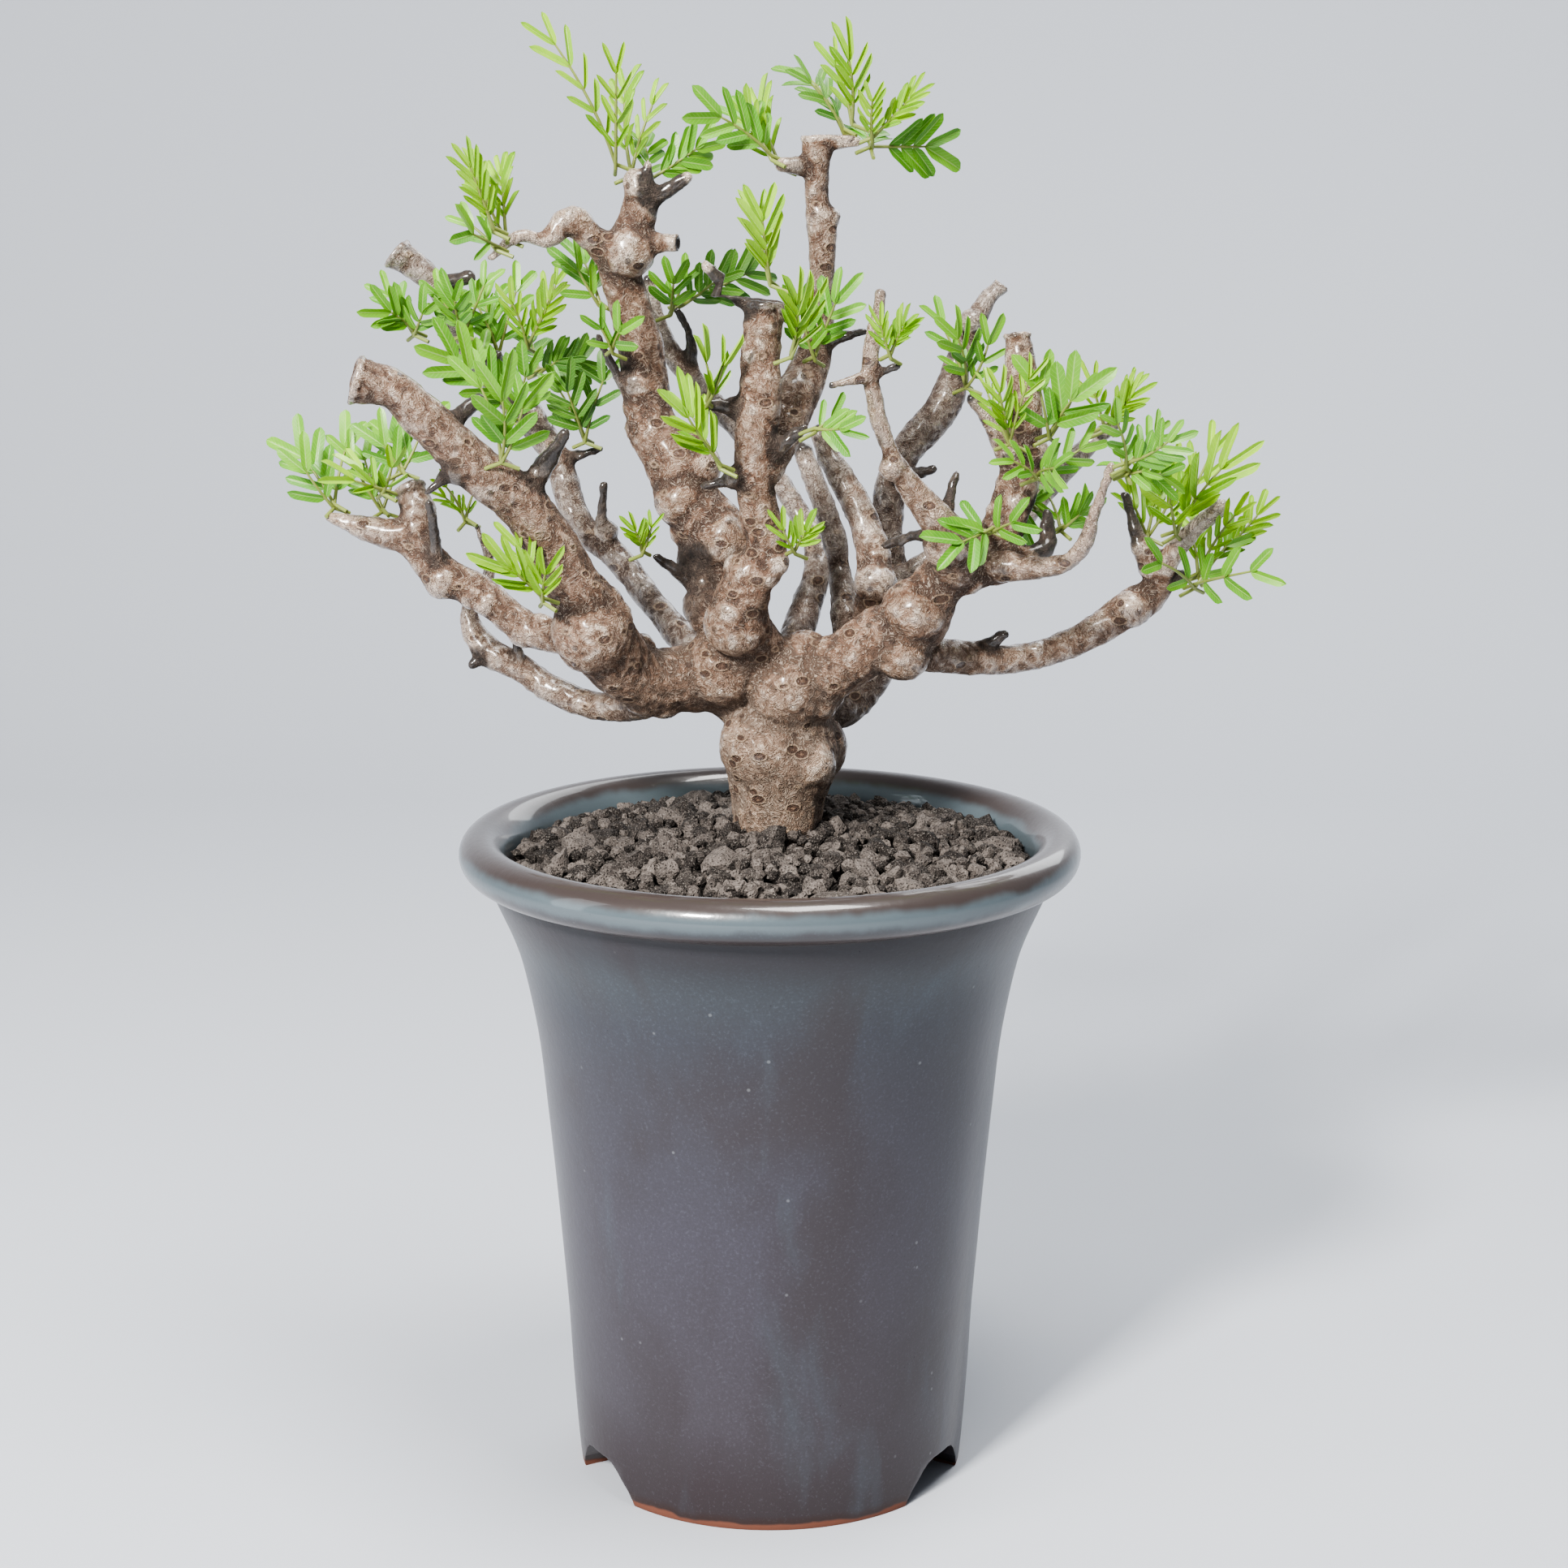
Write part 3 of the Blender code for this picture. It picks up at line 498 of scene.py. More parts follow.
# Limbs whose surface swells and pinches, and how strongly.
KNOBBLY_LIMBS = {
    "trunk": 0.5, "left_limb": 1.0, "left_limb_rise": 0.8, "left_low": 0.9, "winding": 1.3, "front_limb": 1.2,
    "top_limb": 0.8, "right_limb": 1.0, "right_pole": 0.7, "right_low": 0.5, "left_back_low": 0.5,
    "left_back": 0.35, "right_back": 0.4, "back_limb": 0.3, "right_mid": 0.6, "right_inner": 0.5,
    "left_high": 0.4, "right_front_rise": 0.6, "right_front_tip": 0.5,
}
ROOTS = {
    "crown": [
        (2, 0, 158, 10), (2, 0, 149, 11), (1, 0, 138, 14), (0, 0, 124, 13), (0, 0, 104, 8), (1, 1, 84, 4)],
    "root_front": [(0, -4, 134, 6), (-4, -16, 124, 4.5), (-6, -27, 108, 3.5), (-5, -34, 88, 2)],
    "root_left": [(-4, 0, 136, 6), (-18, 2, 128, 4.5), (-30, 6, 114, 3.5), (-36, 8, 92, 2)],
    "root_right": [(6, 0, 136, 6), (19, -4, 130, 4.5), (31, -7, 118, 3.5), (36, -10, 98, 2)],
    "root_back": [(1, 5, 134, 6), (6, 17, 125, 4.5), (9, 28, 110, 3.2), (8, 35, 90, 2)],
}
# Each limb runs through its centre points with its thickness there: x, y, z, radius.
LIMBS = {
    "trunk": [
        (3, 0, 150, 9), (2, 0, 160, 10.5), (2, 0, 170, 12), (3, 0, 180, 14), (3, 0, 187, 11.5),
        (1, 2, 194, 10)],
    "left_limb": [
        (-2, 2, 191, 9), (-12, 0, 197, 8.5), (-21, -4, 198, 8), (-30, -9, 199, 7.5), (-40, -20, 211, 8.5)],
    "left_limb_rise": [
        (-40, -20, 212, 8), (-45, -22, 223, 6.5), (-56, -26, 242, 6), (-66, -29, 251, 5.5),
        (-79, -31, 264, 5),
        (-84, -32, 269, 4.5), (-91, -33, 271, 5)],
    "left_low": [
        (-40, -16, 209, 5), (-49, -10, 209, 4), (-58, -6, 211, 4), (-70, -4, 220, 4), (-77, -4, 223, 4.5),
        (-85, -2, 231, 4), (-93, -1, 233, 3.5), (-104, 0, 236, 1.5)],
    "left_low_top": [(-84, -2, 232, 4), (-83, 0, 237, 4.5), (-85, 2, 242, 3.5)],
    "left_back_low": [
        (-26, 2, 194, 5), (-32, 8, 190, 4.5), (-41, 13, 188, 3.5), (-52, 16, 191, 3.5), (-62, 19, 197, 3.5),
        (-70, 21, 201, 3.5), (-74, 24, 211, 2), (-69, 26, 219, 1.5), (-72, 28, 230, 1)],
    "left_back": [
        (-16, 12, 200, 4.5), (-27, 26, 209, 3.5), (-39, 36, 222, 3.5), (-47, 38, 229, 3.5),
        (-53, 41, 245, 3.5),
        (-59, 43, 256, 3)],
    "left_high": [
        (-54, 41, 247, 3), (-64, 42, 258, 2.5), (-76, 44, 273, 2.5), (-83, 46, 288, 3), (-91, 47, 295, 3.5)],
    "winding": [
        (-3, 2, 197, 8.5), (-8, 2, 210, 8), (-12, 2, 222, 7.5), (-13, 3, 231, 8), (-20, 4, 241, 7),
        (-22, 4, 248, 7.5),
        (-28, 6, 258, 6), (-30, 6, 273, 5.5), (-33, 6, 286, 5), (-35, 5, 294, 5), (-33, 4, 300, 5),
        (-30, 4, 309, 4),
        (-31, 3, 314, 3)],
    "winding_left": [
        (-35, 5, 294, 4), (-42, 1, 302, 3.5), (-46, -1, 305, 3.5), (-52, -4, 301, 2), (-57, -6, 302, 1.5),
        (-64, -8, 297, 1)],
    "winding_right_stub": [(-31, 4, 300, 3), (-22, 1, 300, 2)],
    "winding_dead": [(-29, 4, 309, 2.5), (-19, 2, 315, 1.5)],
    "winding_peak": [(-29, 3, 311, 2.5), (-28, 2, 318, 1)],
    "front_limb": [
        (-2, -6, 204, 7), (-7, -13, 214, 7), (-5, -17, 223, 6), (-1, -18, 230, 5), (-3, -20, 244, 4.5),
        (-3, -22, 260, 5), (-2, -22, 268, 5), (-2, -22, 276, 4.5), (-1, -22, 286, 5)],
    "front_dead": [(-4, -22, 287, 2), (-14, -26, 296, 1.5)],
    "top_limb": [
        (-1, -19, 250, 4.5), (5, -9, 263, 5.5), (11, 0, 276, 4), (12, 1, 287, 3), (12, 2, 305, 3.5),
        (11, 2, 312, 3), (11, 2, 323, 3.5)],
    "top_arm": [(11, 2, 324, 3), (20, 0, 323, 1.5)],
    "top_left_stub": [(10, 2, 317, 2.5), (3, -1, 318, 2)],
    "back_limb": [
        (5, 8, 200, 4.5), (8, 22, 209, 4), (12, 34, 223, 3.5), (8, 38, 231, 3), (-5, 42, 249, 2.5),
        (-17, 44, 262, 3), (-26, 45, 274, 2.5), (-30, 44, 289, 1.5)],
    "right_limb": [
        (5, -4, 194, 8), (15, -8, 201, 7), (26, -11, 209, 7.5), (34, -12, 212, 7), (40, -14, 223, 6),
        (54, -14, 227, 4.5)],
    "right_low": [
        (29, -8, 206, 5), (37, -4, 204, 4.5), (48, 2, 202, 4), (60, 7, 201, 3.5), (72, 9, 204, 3.5),
        (87, 10, 213, 4.5), (93, 10, 218, 4), (92, 9, 224, 3.5), (89, 8, 228, 2.5)],
    "right_low_arm": [(93, 9, 221, 3), (98, 5, 229, 2.5), (107, 0, 239, 2)],
    "right_front_rise": [
        (43, -18, 227, 5.5), (41, -22, 234, 5), (32, -24, 247, 3), (27, -26, 256, 2), (23, -28, 272, 2),
        (25, -30, 290, 1.5)],
    "right_front_fork": [(24, -28, 272, 1.5), (14, -32, 270, 1)],
    "right_pole": [
        (51, -12, 227, 5.5), (55, -8, 236, 5), (59, -5, 248, 5), (60, -3, 256, 4), (59, -1, 270, 4),
        (58, 0, 278, 3)],
    "right_pole_left": [(58, -6, 249, 4), (52, -9, 259, 2.5), (47, -12, 265, 1.5)],
    "right_front_tip": [
        (52, -16, 227, 4), (65, -24, 228, 2.5), (70, -28, 231, 2), (74, -31, 242, 1.5), (77, -33, 252, 1)],
    "right_mid": [
        (23, 0, 204, 4.5), (25, 4, 219, 4.5), (24, 6, 230, 4), (15, 12, 248, 3), (12, 14, 254, 2.5)],
    "right_inner": [(19, 6, 205, 4), (17, 18, 220, 3), (15, 21, 230, 3), (8, 25, 249, 2.5)],
    "right_back": [
        (10, 14, 186, 6), (20, 24, 188, 5.5), (28, 31, 199, 5), (30, 34, 213, 4.5), (29, 38, 230, 4),
        (32, 42, 244, 4), (43, 46, 258, 4.5), (48, 48, 272, 3), (54, 49, 284, 2.5), (57, 50, 287, 2)],
    "right_back_low": [
        (30, 30, 215, 3.5), (40, 30, 222, 2.5), (58, 27, 229, 2.5), (70, 24, 243, 3), (83, 22, 256, 2)],
}

# Short dead twigs and cut stubs that stand off the limbs: foot, any bend and tip, as x, y, z, radius.
SPURS = [
    [(-61, 17, 199, 1.5), (-63, 15, 207, 1)], [(-69, 20, 201, 1.5), (-73, 19, 197, 1.2)],
    [(-42, 34, 229, 1.5), (-41, 32, 240, 1)], [(-52, 41, 245, 2), (-42, 39, 248, 1)],
    [(-34, 4, 265, 1.2), (-40, -2, 279, 1)], [(-6, -23, 248, 1.5), (-15, -20, 246, 1)],
    [(1, -22, 254, 2.2), (8, -26, 260, 1.2)], [(12, -1, 277, 1.8), (22, -5, 280, 1.2)],
    [(-20, 44, 266, 2), (-20, 42, 276, 1.2), (-23, 41, 282, 1)], [(-54, -26, 247, 3), (-46, -29, 259, 1.2)],
    [(-70, -30, 252, 2.2), (-77, -32, 246, 1)], [(-78, -6, 225, 1.8), (-79, -12, 241, 1)],
    [(-74, -28, 259, 2.6), (-66, -23, 266, 1.5)], [(-82, 45, 288, 2), (-74, 43, 290, 1.8)],
    [(-71, 43, 267, 1.8), (-67, 38, 271, 1.5)], [(51, 3, 204, 1.8), (56, 1, 208, 1.2)],
    [(39, -20, 234, 2), (34, -16, 234, 1.5), (27, -12, 231, 1.2)], [(-15, 0, 219, 3), (-27, -8, 228, 1)],
    [(40, -20, 238, 2), (43, -16, 248, 1.2)], [(30, 40, 240, 2), (40, 30, 244, 1.2)],
    [(89, 8, 228, 2), (85, 10, 240, 1)], [(-7, -22, 264, 2), (-14, -23, 265, 1.5)],
    [(24, -28, 272, 1.3), (29, -29, 274, 1)], [(0, -22, 286, 2.6), (0, -21, 291, 1.5)],
    [(55, -13, 228, 2.6), (64, -11, 230, 2.5), (65, -8, 238, 1.5)], [(95, 10, 219, 2.5), (99, 9, 221, 1.6)],
]

# Rounded swellings of the wood: x, y, z, radius.
KNOBS = [
    (-1, -4, 182, 10.5), (9, 3, 180, 9), (4, -6, 196, 9.5), (8, -5, 203, 6.5), (-11, -5, 201, 9),
    (-29, -6, 196, 6.5),
    (-41, -21, 212, 9), (-77, -5, 222, 4.5), (-58, -6, 210, 4), (-70, -31, 251, 3.5), (-91, -33, 271, 5),
    (-41, 35, 228, 3), (-92, 46, 295, 3.5), (-11, -1, 231, 7), (-21, 1, 240, 6), (-17, 3, 248, 5.5),
    (-33, 2, 298, 6), (-13, -1, 215, 7), (-8, -15, 213, 7), (-8, -22, 248, 2.5), (1, -20, 228, 3.5),
    (-8, -21, 264, 2.5), (14, 2, 306, 2.5), (34, -14, 216, 7.5), (31, -13, 206, 6.5),
    (25, 2, 220, 5), (41, -22, 233, 5.5), (28, -26, 251, 3), (87, 8, 213, 4.5), (63, -7, 253, 2.5),
    (50, 46, 279, 3), (-68, 41, 270, 2),
]


def between(a, b, share):
    """The place a share of the way from one limb point to the next."""
    return Vector(a[:3]).lerp(Vector(b[:3]), share)


def limb_end(points):
    """A limb's last place and the way it points there."""
    end = Vector(points[-1][:3])
    return end, (end - Vector(points[-2][:3])).normalized()


def any_way(dice):
    return Vector((dice.gauss(0, 1), dice.gauss(0, 1), dice.gauss(0, 1))).normalized()


def add_knob(shape, centre, radius, stretch=(1, 1, 1)):
    place = Matrix.Translation(centre) @ Matrix.Diagonal((*stretch, 1))
    ball = bmesh.new()
    bmesh.ops.create_icosphere(ball, subdivisions=3, radius=radius, matrix=place)
    join_shape(shape, ball)


def limb_tubes(runs, thinnest):
    """Closed tubes along smooth curves through each limb's points, as one bmesh in millimetres."""
    curve = bpy.data.curves.new("limb_lines", "CURVE")
    curve.dimensions = "3D"
    curve.bevel_depth = MM
    curve.bevel_resolution = 5
    curve.resolution_u = 10
    curve.use_fill_caps = True
    for points in runs:
        spline = curve.splines.new("BEZIER")
        spline.radius_interpolation = "CARDINAL"
        spline.bezier_points.add(len(points) - 1)
        for knot, (x, y, z, radius) in zip(spline.bezier_points, points):
            knot.co = Vector((x, y, z)) * MM
            knot.radius = max(radius, thinnest)
            knot.handle_left_type = "AUTO"
            knot.handle_right_type = "AUTO"
    lines = put_in_scene("limb_lines", curve)
    bpy.context.view_layer.update()
    tubes = bpy.data.meshes.new_from_object(lines.evaluated_get(bpy.context.evaluated_depsgraph_get()))
    bpy.data.objects.remove(lines)
    shape = bmesh.new()
    shape.from_mesh(tubes)
    resize(shape, 1 / MM)
    return shape


def swell_limbs(shape, dice):
    """Set small swellings along the limbs, half sunk in the wood, as the real bark has."""
    for name, strength in KNOBBLY_LIMBS.items():
        line = [(between(a, b, t), a[3] + (b[3] - a[3]) * t)
                for a, b in zip(LIMBS[name], LIMBS[name][1:]) for t in (0.0, 0.33, 0.67)]
        for centre, radius in line:
            if dice.random() > 0.75 * strength:
                continue
            way = any_way(dice)
            size = radius * dice.uniform(0.5, 0.85)
            shift = radius * (1.0 + 0.26 * min(strength, 1)) - size
            add_knob(shape, centre + way * shift, size, [dice.uniform(0.85, 1.2) for _ in range(3)])


def roughen_spurs(shape, dice):
    """Dead twigs keep the stumps of their old buds as small warts."""
    for points in SPURS:
        for a, b in zip(points, points[1:]):
            for t in (0.2, 0.5, 0.8):
                centre = between(a, b, t)
                radius = max(0.9, a[3] + (b[3] - a[3]) * t)
                way = any_way(dice)
                add_knob(shape, centre + way * radius * 0.55, radius * dice.uniform(0.6, 0.95))


def remesh_tree(shape):
    resize(shape, MM)
    skin = put_in_scene("tree_skin", to_mesh("tree_skin", shape))
    cells = skin.modifiers.new("cells", "REMESH")
    cells.mode = "VOXEL"
    cells.voxel_size = SKIN_CELL * MM
    ease = skin.modifiers.new("ease", "SMOOTH")
    ease.factor = 0.5
    ease.iterations = 4
    settle(skin)
    shape = bmesh.new()
    shape.from_mesh(skin.data)
    resize(shape, 1 / MM)
    bpy.data.objects.remove(skin)
    return shape


def saw_ends(shape):
    """Cut limbs end in a flat sawn face, a little hollow inside a healed rim."""
    for name in SAWN_LIMBS:
        end, along = limb_end(LIMBS[name])
        radius = LIMBS[name][-1][3]
        for vert in shape.verts:
            off = vert.co - end
            ahead = off.dot(along)
            if off.length > radius * SAW_REACH or ahead < radius * 0.1:
                continue
            beside = (off - along * ahead).length / radius
            dish = SAW_HOLLOW * max(0.0, 1 - (beside / SAW_HOLLOW_RADIUS) ** 2)
            ease = min(1.0, (ahead / radius - 0.1) * 3)
            vert.co += along * (radius * (SAW_LEVEL - dish) - ahead) * 0.9 * ease
            vert.co += (off - along * ahead) * SAW_FLARE


def neighbour_mean(values, ends, counts):
    total = np.zeros_like(values)
    np.add.at(total, ends[:, 0], values[ends[:, 1]])
    np.add.at(total, ends[:, 1], values[ends[:, 0]])
    return total / counts


def wrinkle(shape):
    """Press fine folds and dents into the bark."""
    shape.normal_update()
    for vert in shape.verts:
        spot = vert.co
        fold = noise.noise(spot * 0.16) + 0.5 * noise.noise(spot * 0.38 + Vector((9, 2, 5)))
        swirl = math.sin(22 * noise.noise(spot * 0.085 + Vector((3, 7, 1))) + 5 * noise.noise(spot * 0.2))
        pit = noise.noise(spot * 0.75 + Vector((4, 4, 8)))
        vert.co += vert.normal * (0.45 * fold + 0.05 * swirl + 0.2 * pit)


def paint_wood(shape):
    """Measure for each point how sunken it is, and which kind of wood it belongs to."""
    layers = {name: shape.verts.layers.float.new(name) for name in ("hollow", "grey", "ruddy", "dead")}
    lines = []
    for name, points in LIMBS.items():
        kind = (GREY_LIMBS.get(name, 0.0), RUDDY_LIMBS.get(name, 0.0), DEAD_LIMBS.get(name, 0.0))
        for a, b in zip(points, points[1:]):
            lines += [(between(a, b, t / 5), kind) for t in range(5)]
        end, along = limb_end(points)
        lines.append((end + along * points[-1][3] * 1.2, (kind[0], kind[1], CUT_END_CHAR.get(name, 0.0))))
    for points in SPURS:
        for a, b in zip(points, points[1:]):
            lines += [(between(a, b, 0.25 + t / 5), (0.2, 0.0, 0.55 + 0.11 * t)) for t in range(5)]
    finder = kdtree.KDTree(len(lines))
    for number, (spot, _) in enumerate(lines):
        finder.insert(spot, number)
    finder.balance()
    kinds = np.array([lines[finder.find(vert.co)[1]][1] for vert in shape.verts])

    shape.verts.index_update()
    ends = np.array([(edge.verts[0].index, edge.verts[1].index) for edge in shape.edges])
    places = np.array([vert.co for vert in shape.verts])
    normals = np.array([vert.normal for vert in shape.verts])
    counts = np.zeros(len(places))
    np.add.at(counts, ends[:, 0], 1)
    np.add.at(counts, ends[:, 1], 1)
    counts = counts[:, None]
    soft = places
    sunken = 0
    for turn in range(40):
        soft = neighbour_mean(soft, ends, counts)
        if turn in (5, 39):
            depth = ((soft - places) * normals).sum(1)
            sunken = sunken + (depth - np.median(depth)) / (depth.std() + 1e-9)
    for _ in range(5):
        kinds = neighbour_mean(kinds, ends, counts)
    sunken = np.clip(0.5 + 0.16 * sunken, 0, 1)
    for vert, low, kind in zip(shape.verts, sunken, kinds):
        vert[layers["hollow"]] = low
        for name, value in zip(("grey", "ruddy", "dead"), kind):
            vert[layers[name]] = value


def bark_finish():
    material, wires, shader = new_finish("bark", Specular_IOR_Level=0.5, Coat_Roughness=0.2)
    place = wires.place()
    hollow, grey = wires.reading("hollow"), wires.reading("grey")
    ruddy, dead = wires.reading("ruddy"), wires.reading("dead")
    patch = wires.grain(place, 75, 4, 0.6, 0.8)
    fine = wires.grain(place, 800, 3, 0.65)
    field = wires.grain(place, 95, 3, 0.5, 1.3)
    fibre = wires.maths("SINE", wires.times(field, 210.0))
    weave = wires.maths("SINE", wires.times(wires.grain(place, 330, 3, 0.55, 1.4), 42.0))
    # How sunken the bark is sets its tone: the brown of the creases is the bark's own colour, while the cream
    # tops of the swellings are partly a painted highlight and the near-black deepest creases a painted shade.
    sunk = wires.sway(patch, 0.5, wires.span(hollow, 0, 1, 0.03, 1.0), middle=0.4)
    pale = wires.ramp(sunk, [
        (0.2, (0.66, 0.54, 0.44)), (0.38, (0.38, 0.265, 0.19)), (0.6, (0.26, 0.16, 0.105)),
        (0.8, (0.14, 0.07, 0.04)), (0.95, (0.035, 0.016, 0.009))])
    height = wires.height()
    # Bark low down is mixed towards a lighter tan: partly the trunk's own creamier bark, partly painted light
    # on the trunk that sits in the canopy's shade.
    pale = wires.mix(wires.span(height, 0.22, 0.17, 0, 0.4), pale, (0.5, 0.385, 0.29))
    colour = wires.mix(wires.span(patch, 0.55, 0.75, 0, 0.35), pale, (0.25, 0.155, 0.09))
    # The reddish and grey woods get the same painted highlight on swellings and painted shade in deep
    # creases.
    colour = wires.mix(wires.times(ruddy, 0.8), colour, wires.ramp(sunk, [
        (0.2, (0.29, 0.2, 0.145)), (0.5, (0.15, 0.088, 0.055)), (0.8, (0.035, 0.019, 0.012))]))
    colour = wires.mix(wires.times(grey, 0.88), colour, wires.ramp(sunk, [
        (0.2, (0.27, 0.235, 0.21)), (0.5, (0.155, 0.128, 0.112)), (0.8, (0.045, 0.034, 0.03))]))
    deep = wires.mix(0.75, colour, (0.2, 0.12, 0.08), "MULTIPLY")
    colour = wires.mix(wires.span(fibre, 0.5, 1.0, 0, 0.06), colour, deep)
    colour = wires.mix(wires.span(weave, 0.4, 1.0, 0, 0.4), colour, (0.56, 0.46, 0.37))
    colour = wires.mix(wires.span(weave, -0.5, -1.0, 0, 0.4), colour, (0.11, 0.058, 0.036))
    colour = wires.mix(wires.span(fine, 0.35, 0.68, 0.28, 0), colour, (0.1, 0.058, 0.038))

    curl = wires.maths("SUBTRACT", wires.grain(wires.place((1, 1, 0.75)), 210, 4, 0.6, 1.8), 0.5)
    curl = wires.span(wires.maths("ABSOLUTE", curl, 0.0), 0.035, 0.0)
    colour = wires.mix(wires.times(curl, 0.55), colour, (0.13, 0.068, 0.04))

    pores = wires.cells(wires.place((1, 1, 1.6)), 150)
    chance = wires.lot(pores, 1)
    chance = wires.maths("ADD", chance, wires.span(height, 0.195, 0.175, 0, 0.8))
    here = wires.times(wires.span(chance, 0.46, 0.5), wires.maths("SUBTRACT", 1.0, dead))
    size = wires.maths("MULTIPLY_ADD", fine, 0.08, pores["Distance"])
    rim = wires.times(wires.span(size, 0.38, 0.31), here)
    eye = wires.times(wires.span(size, 0.29, 0.24), here)
    core = wires.times(wires.span(size, 0.15, 0.1), here)
    colour = wires.mix(wires.times(rim, 0.45), colour, (0.42, 0.3, 0.2))
    colour = wires.mix(wires.times(eye, 0.9), colour, (0.055, 0.024, 0.014))
    colour = wires.mix(wires.times(core, 0.55), colour, (0.25, 0.15, 0.09))
    dots = wires.cells(place, 300)
    dot_pick = wires.lot(dots, 2)
    dot = wires.times(wires.span(dots["Distance"], 0.3, 0.2), wires.span(dot_pick, 0.72, 0.76))
    colour = wires.mix(wires.times(dot, 0.7), colour, (0.045, 0.024, 0.016))
    char = wires.ramp(wires.grain(place, 500, 4, 0.7, 0.5), [
        (0.3, (0.012, 0.008, 0.006)), (0.6, (0.045, 0.03, 0.022)), (0.8, (0.17, 0.14, 0.11))])
    colour = wires.mix(wires.span(dead, 0.25, 0.7), colour, char)

    dull = wires.ramp(sunk, [(0.2, (0.2, 0.2, 0.2)), (0.5, (0.34, 0.34, 0.34)), (0.8, (0.75, 0.75, 0.75))])
    dull = wires.mix(wires.span(dead, 0.2, 0.6), dull, (0.85, 0.85, 0.85))
    dull = wires.mix(wires.times(grey, 0.5), dull, (0.55, 0.55, 0.55))
    skin = wires.bump(wires.maths("MULTIPLY_ADD", fibre, 0.1, weave), 0.7, 0.00022)
    skin = wires.bump(fine, 0.4, 0.0004, wires.bump(wires.maths("SUBTRACT", 1.0, curl), 0.7, 0.00035, skin))
    skin = wires.bump(wires.maths("SUBTRACT", rim, wires.times(eye, 1.5)), 0.75, 0.0004, skin)
    connect(wires, shader, Base_Color=colour, Roughness=dull, Normal=skin,
            Coat_Weight=wires.span(sunk, 0.6, 0.3))
    return material


def build_tree():
    dice = random.Random(TREE_SEED)
    shape = limb_tubes([*ROOTS.values(), *LIMBS.values(), *SPURS], thinnest=THINNEST_WOOD)
    for x, y, z, radius in KNOBS:
        add_knob(shape, (x, y, z), radius * KNOB_SWELL)
    for points in [*ROOTS.values(), *LIMBS.values(), *SPURS]:
        for x, y, z, radius in (points[0], points[-1]):
            add_knob(shape, (x, y, z), max(radius, THINNEST_WOOD))
    swell_limbs(shape, dice)
    roughen_spurs(shape, dice)
    shape = remesh_tree(shape)
    saw_ends(shape)
    wrinkle(shape)
    shape.normal_update()
    paint_wood(shape)
    faces = sum(len(face.verts) - 2 for face in shape.faces)
    tree = finish_piece("living_tree", shape, bark_finish(), ["tree"], sharp_deg=180)
    thin = tree.modifiers.new("thin", "DECIMATE")
    thin.ratio = min(1.0, TREE_TRIANGLES / faces)
    settle(tree)


build_tree()

# ---- Leaves ----------------------------------------------------------------------------------
# Each leaf is a thin stalk with small oblong leaflets in facing pairs. Young leaves are bright and
# still half folded, full-grown ones lie flat, and old ones are dark. All grow straight from the wood.
STALK_BARE_PART = 0.2
STALK_RADIUS = (0.5, 0.26)
BLADE_THICKNESS = 0.16
BLADE_GRID = (10, 6)
LEAF_SEED = 23
STALK_STEPS = 8
END_PAIR_OPENING = 0.58     # of the other pairs' opening
OPENING_SCATTER_DEG, TILT_SCATTER_DEG, FOLD_SCATTER_DEG = 7, 16, 9
SMALL_LEAFLET = 0.85        # of a full leaf's leaflet
# Small leaves beside each full one: turn in degrees, share of its length, lift in mm.
SMALL_LEAF_TURNS = [(70, 0.7, 4), (-75, 0.75, 7)]
CROWDED_BELOW = 295
CROWDED_BEYOND = 45
OUTERMOST = 112
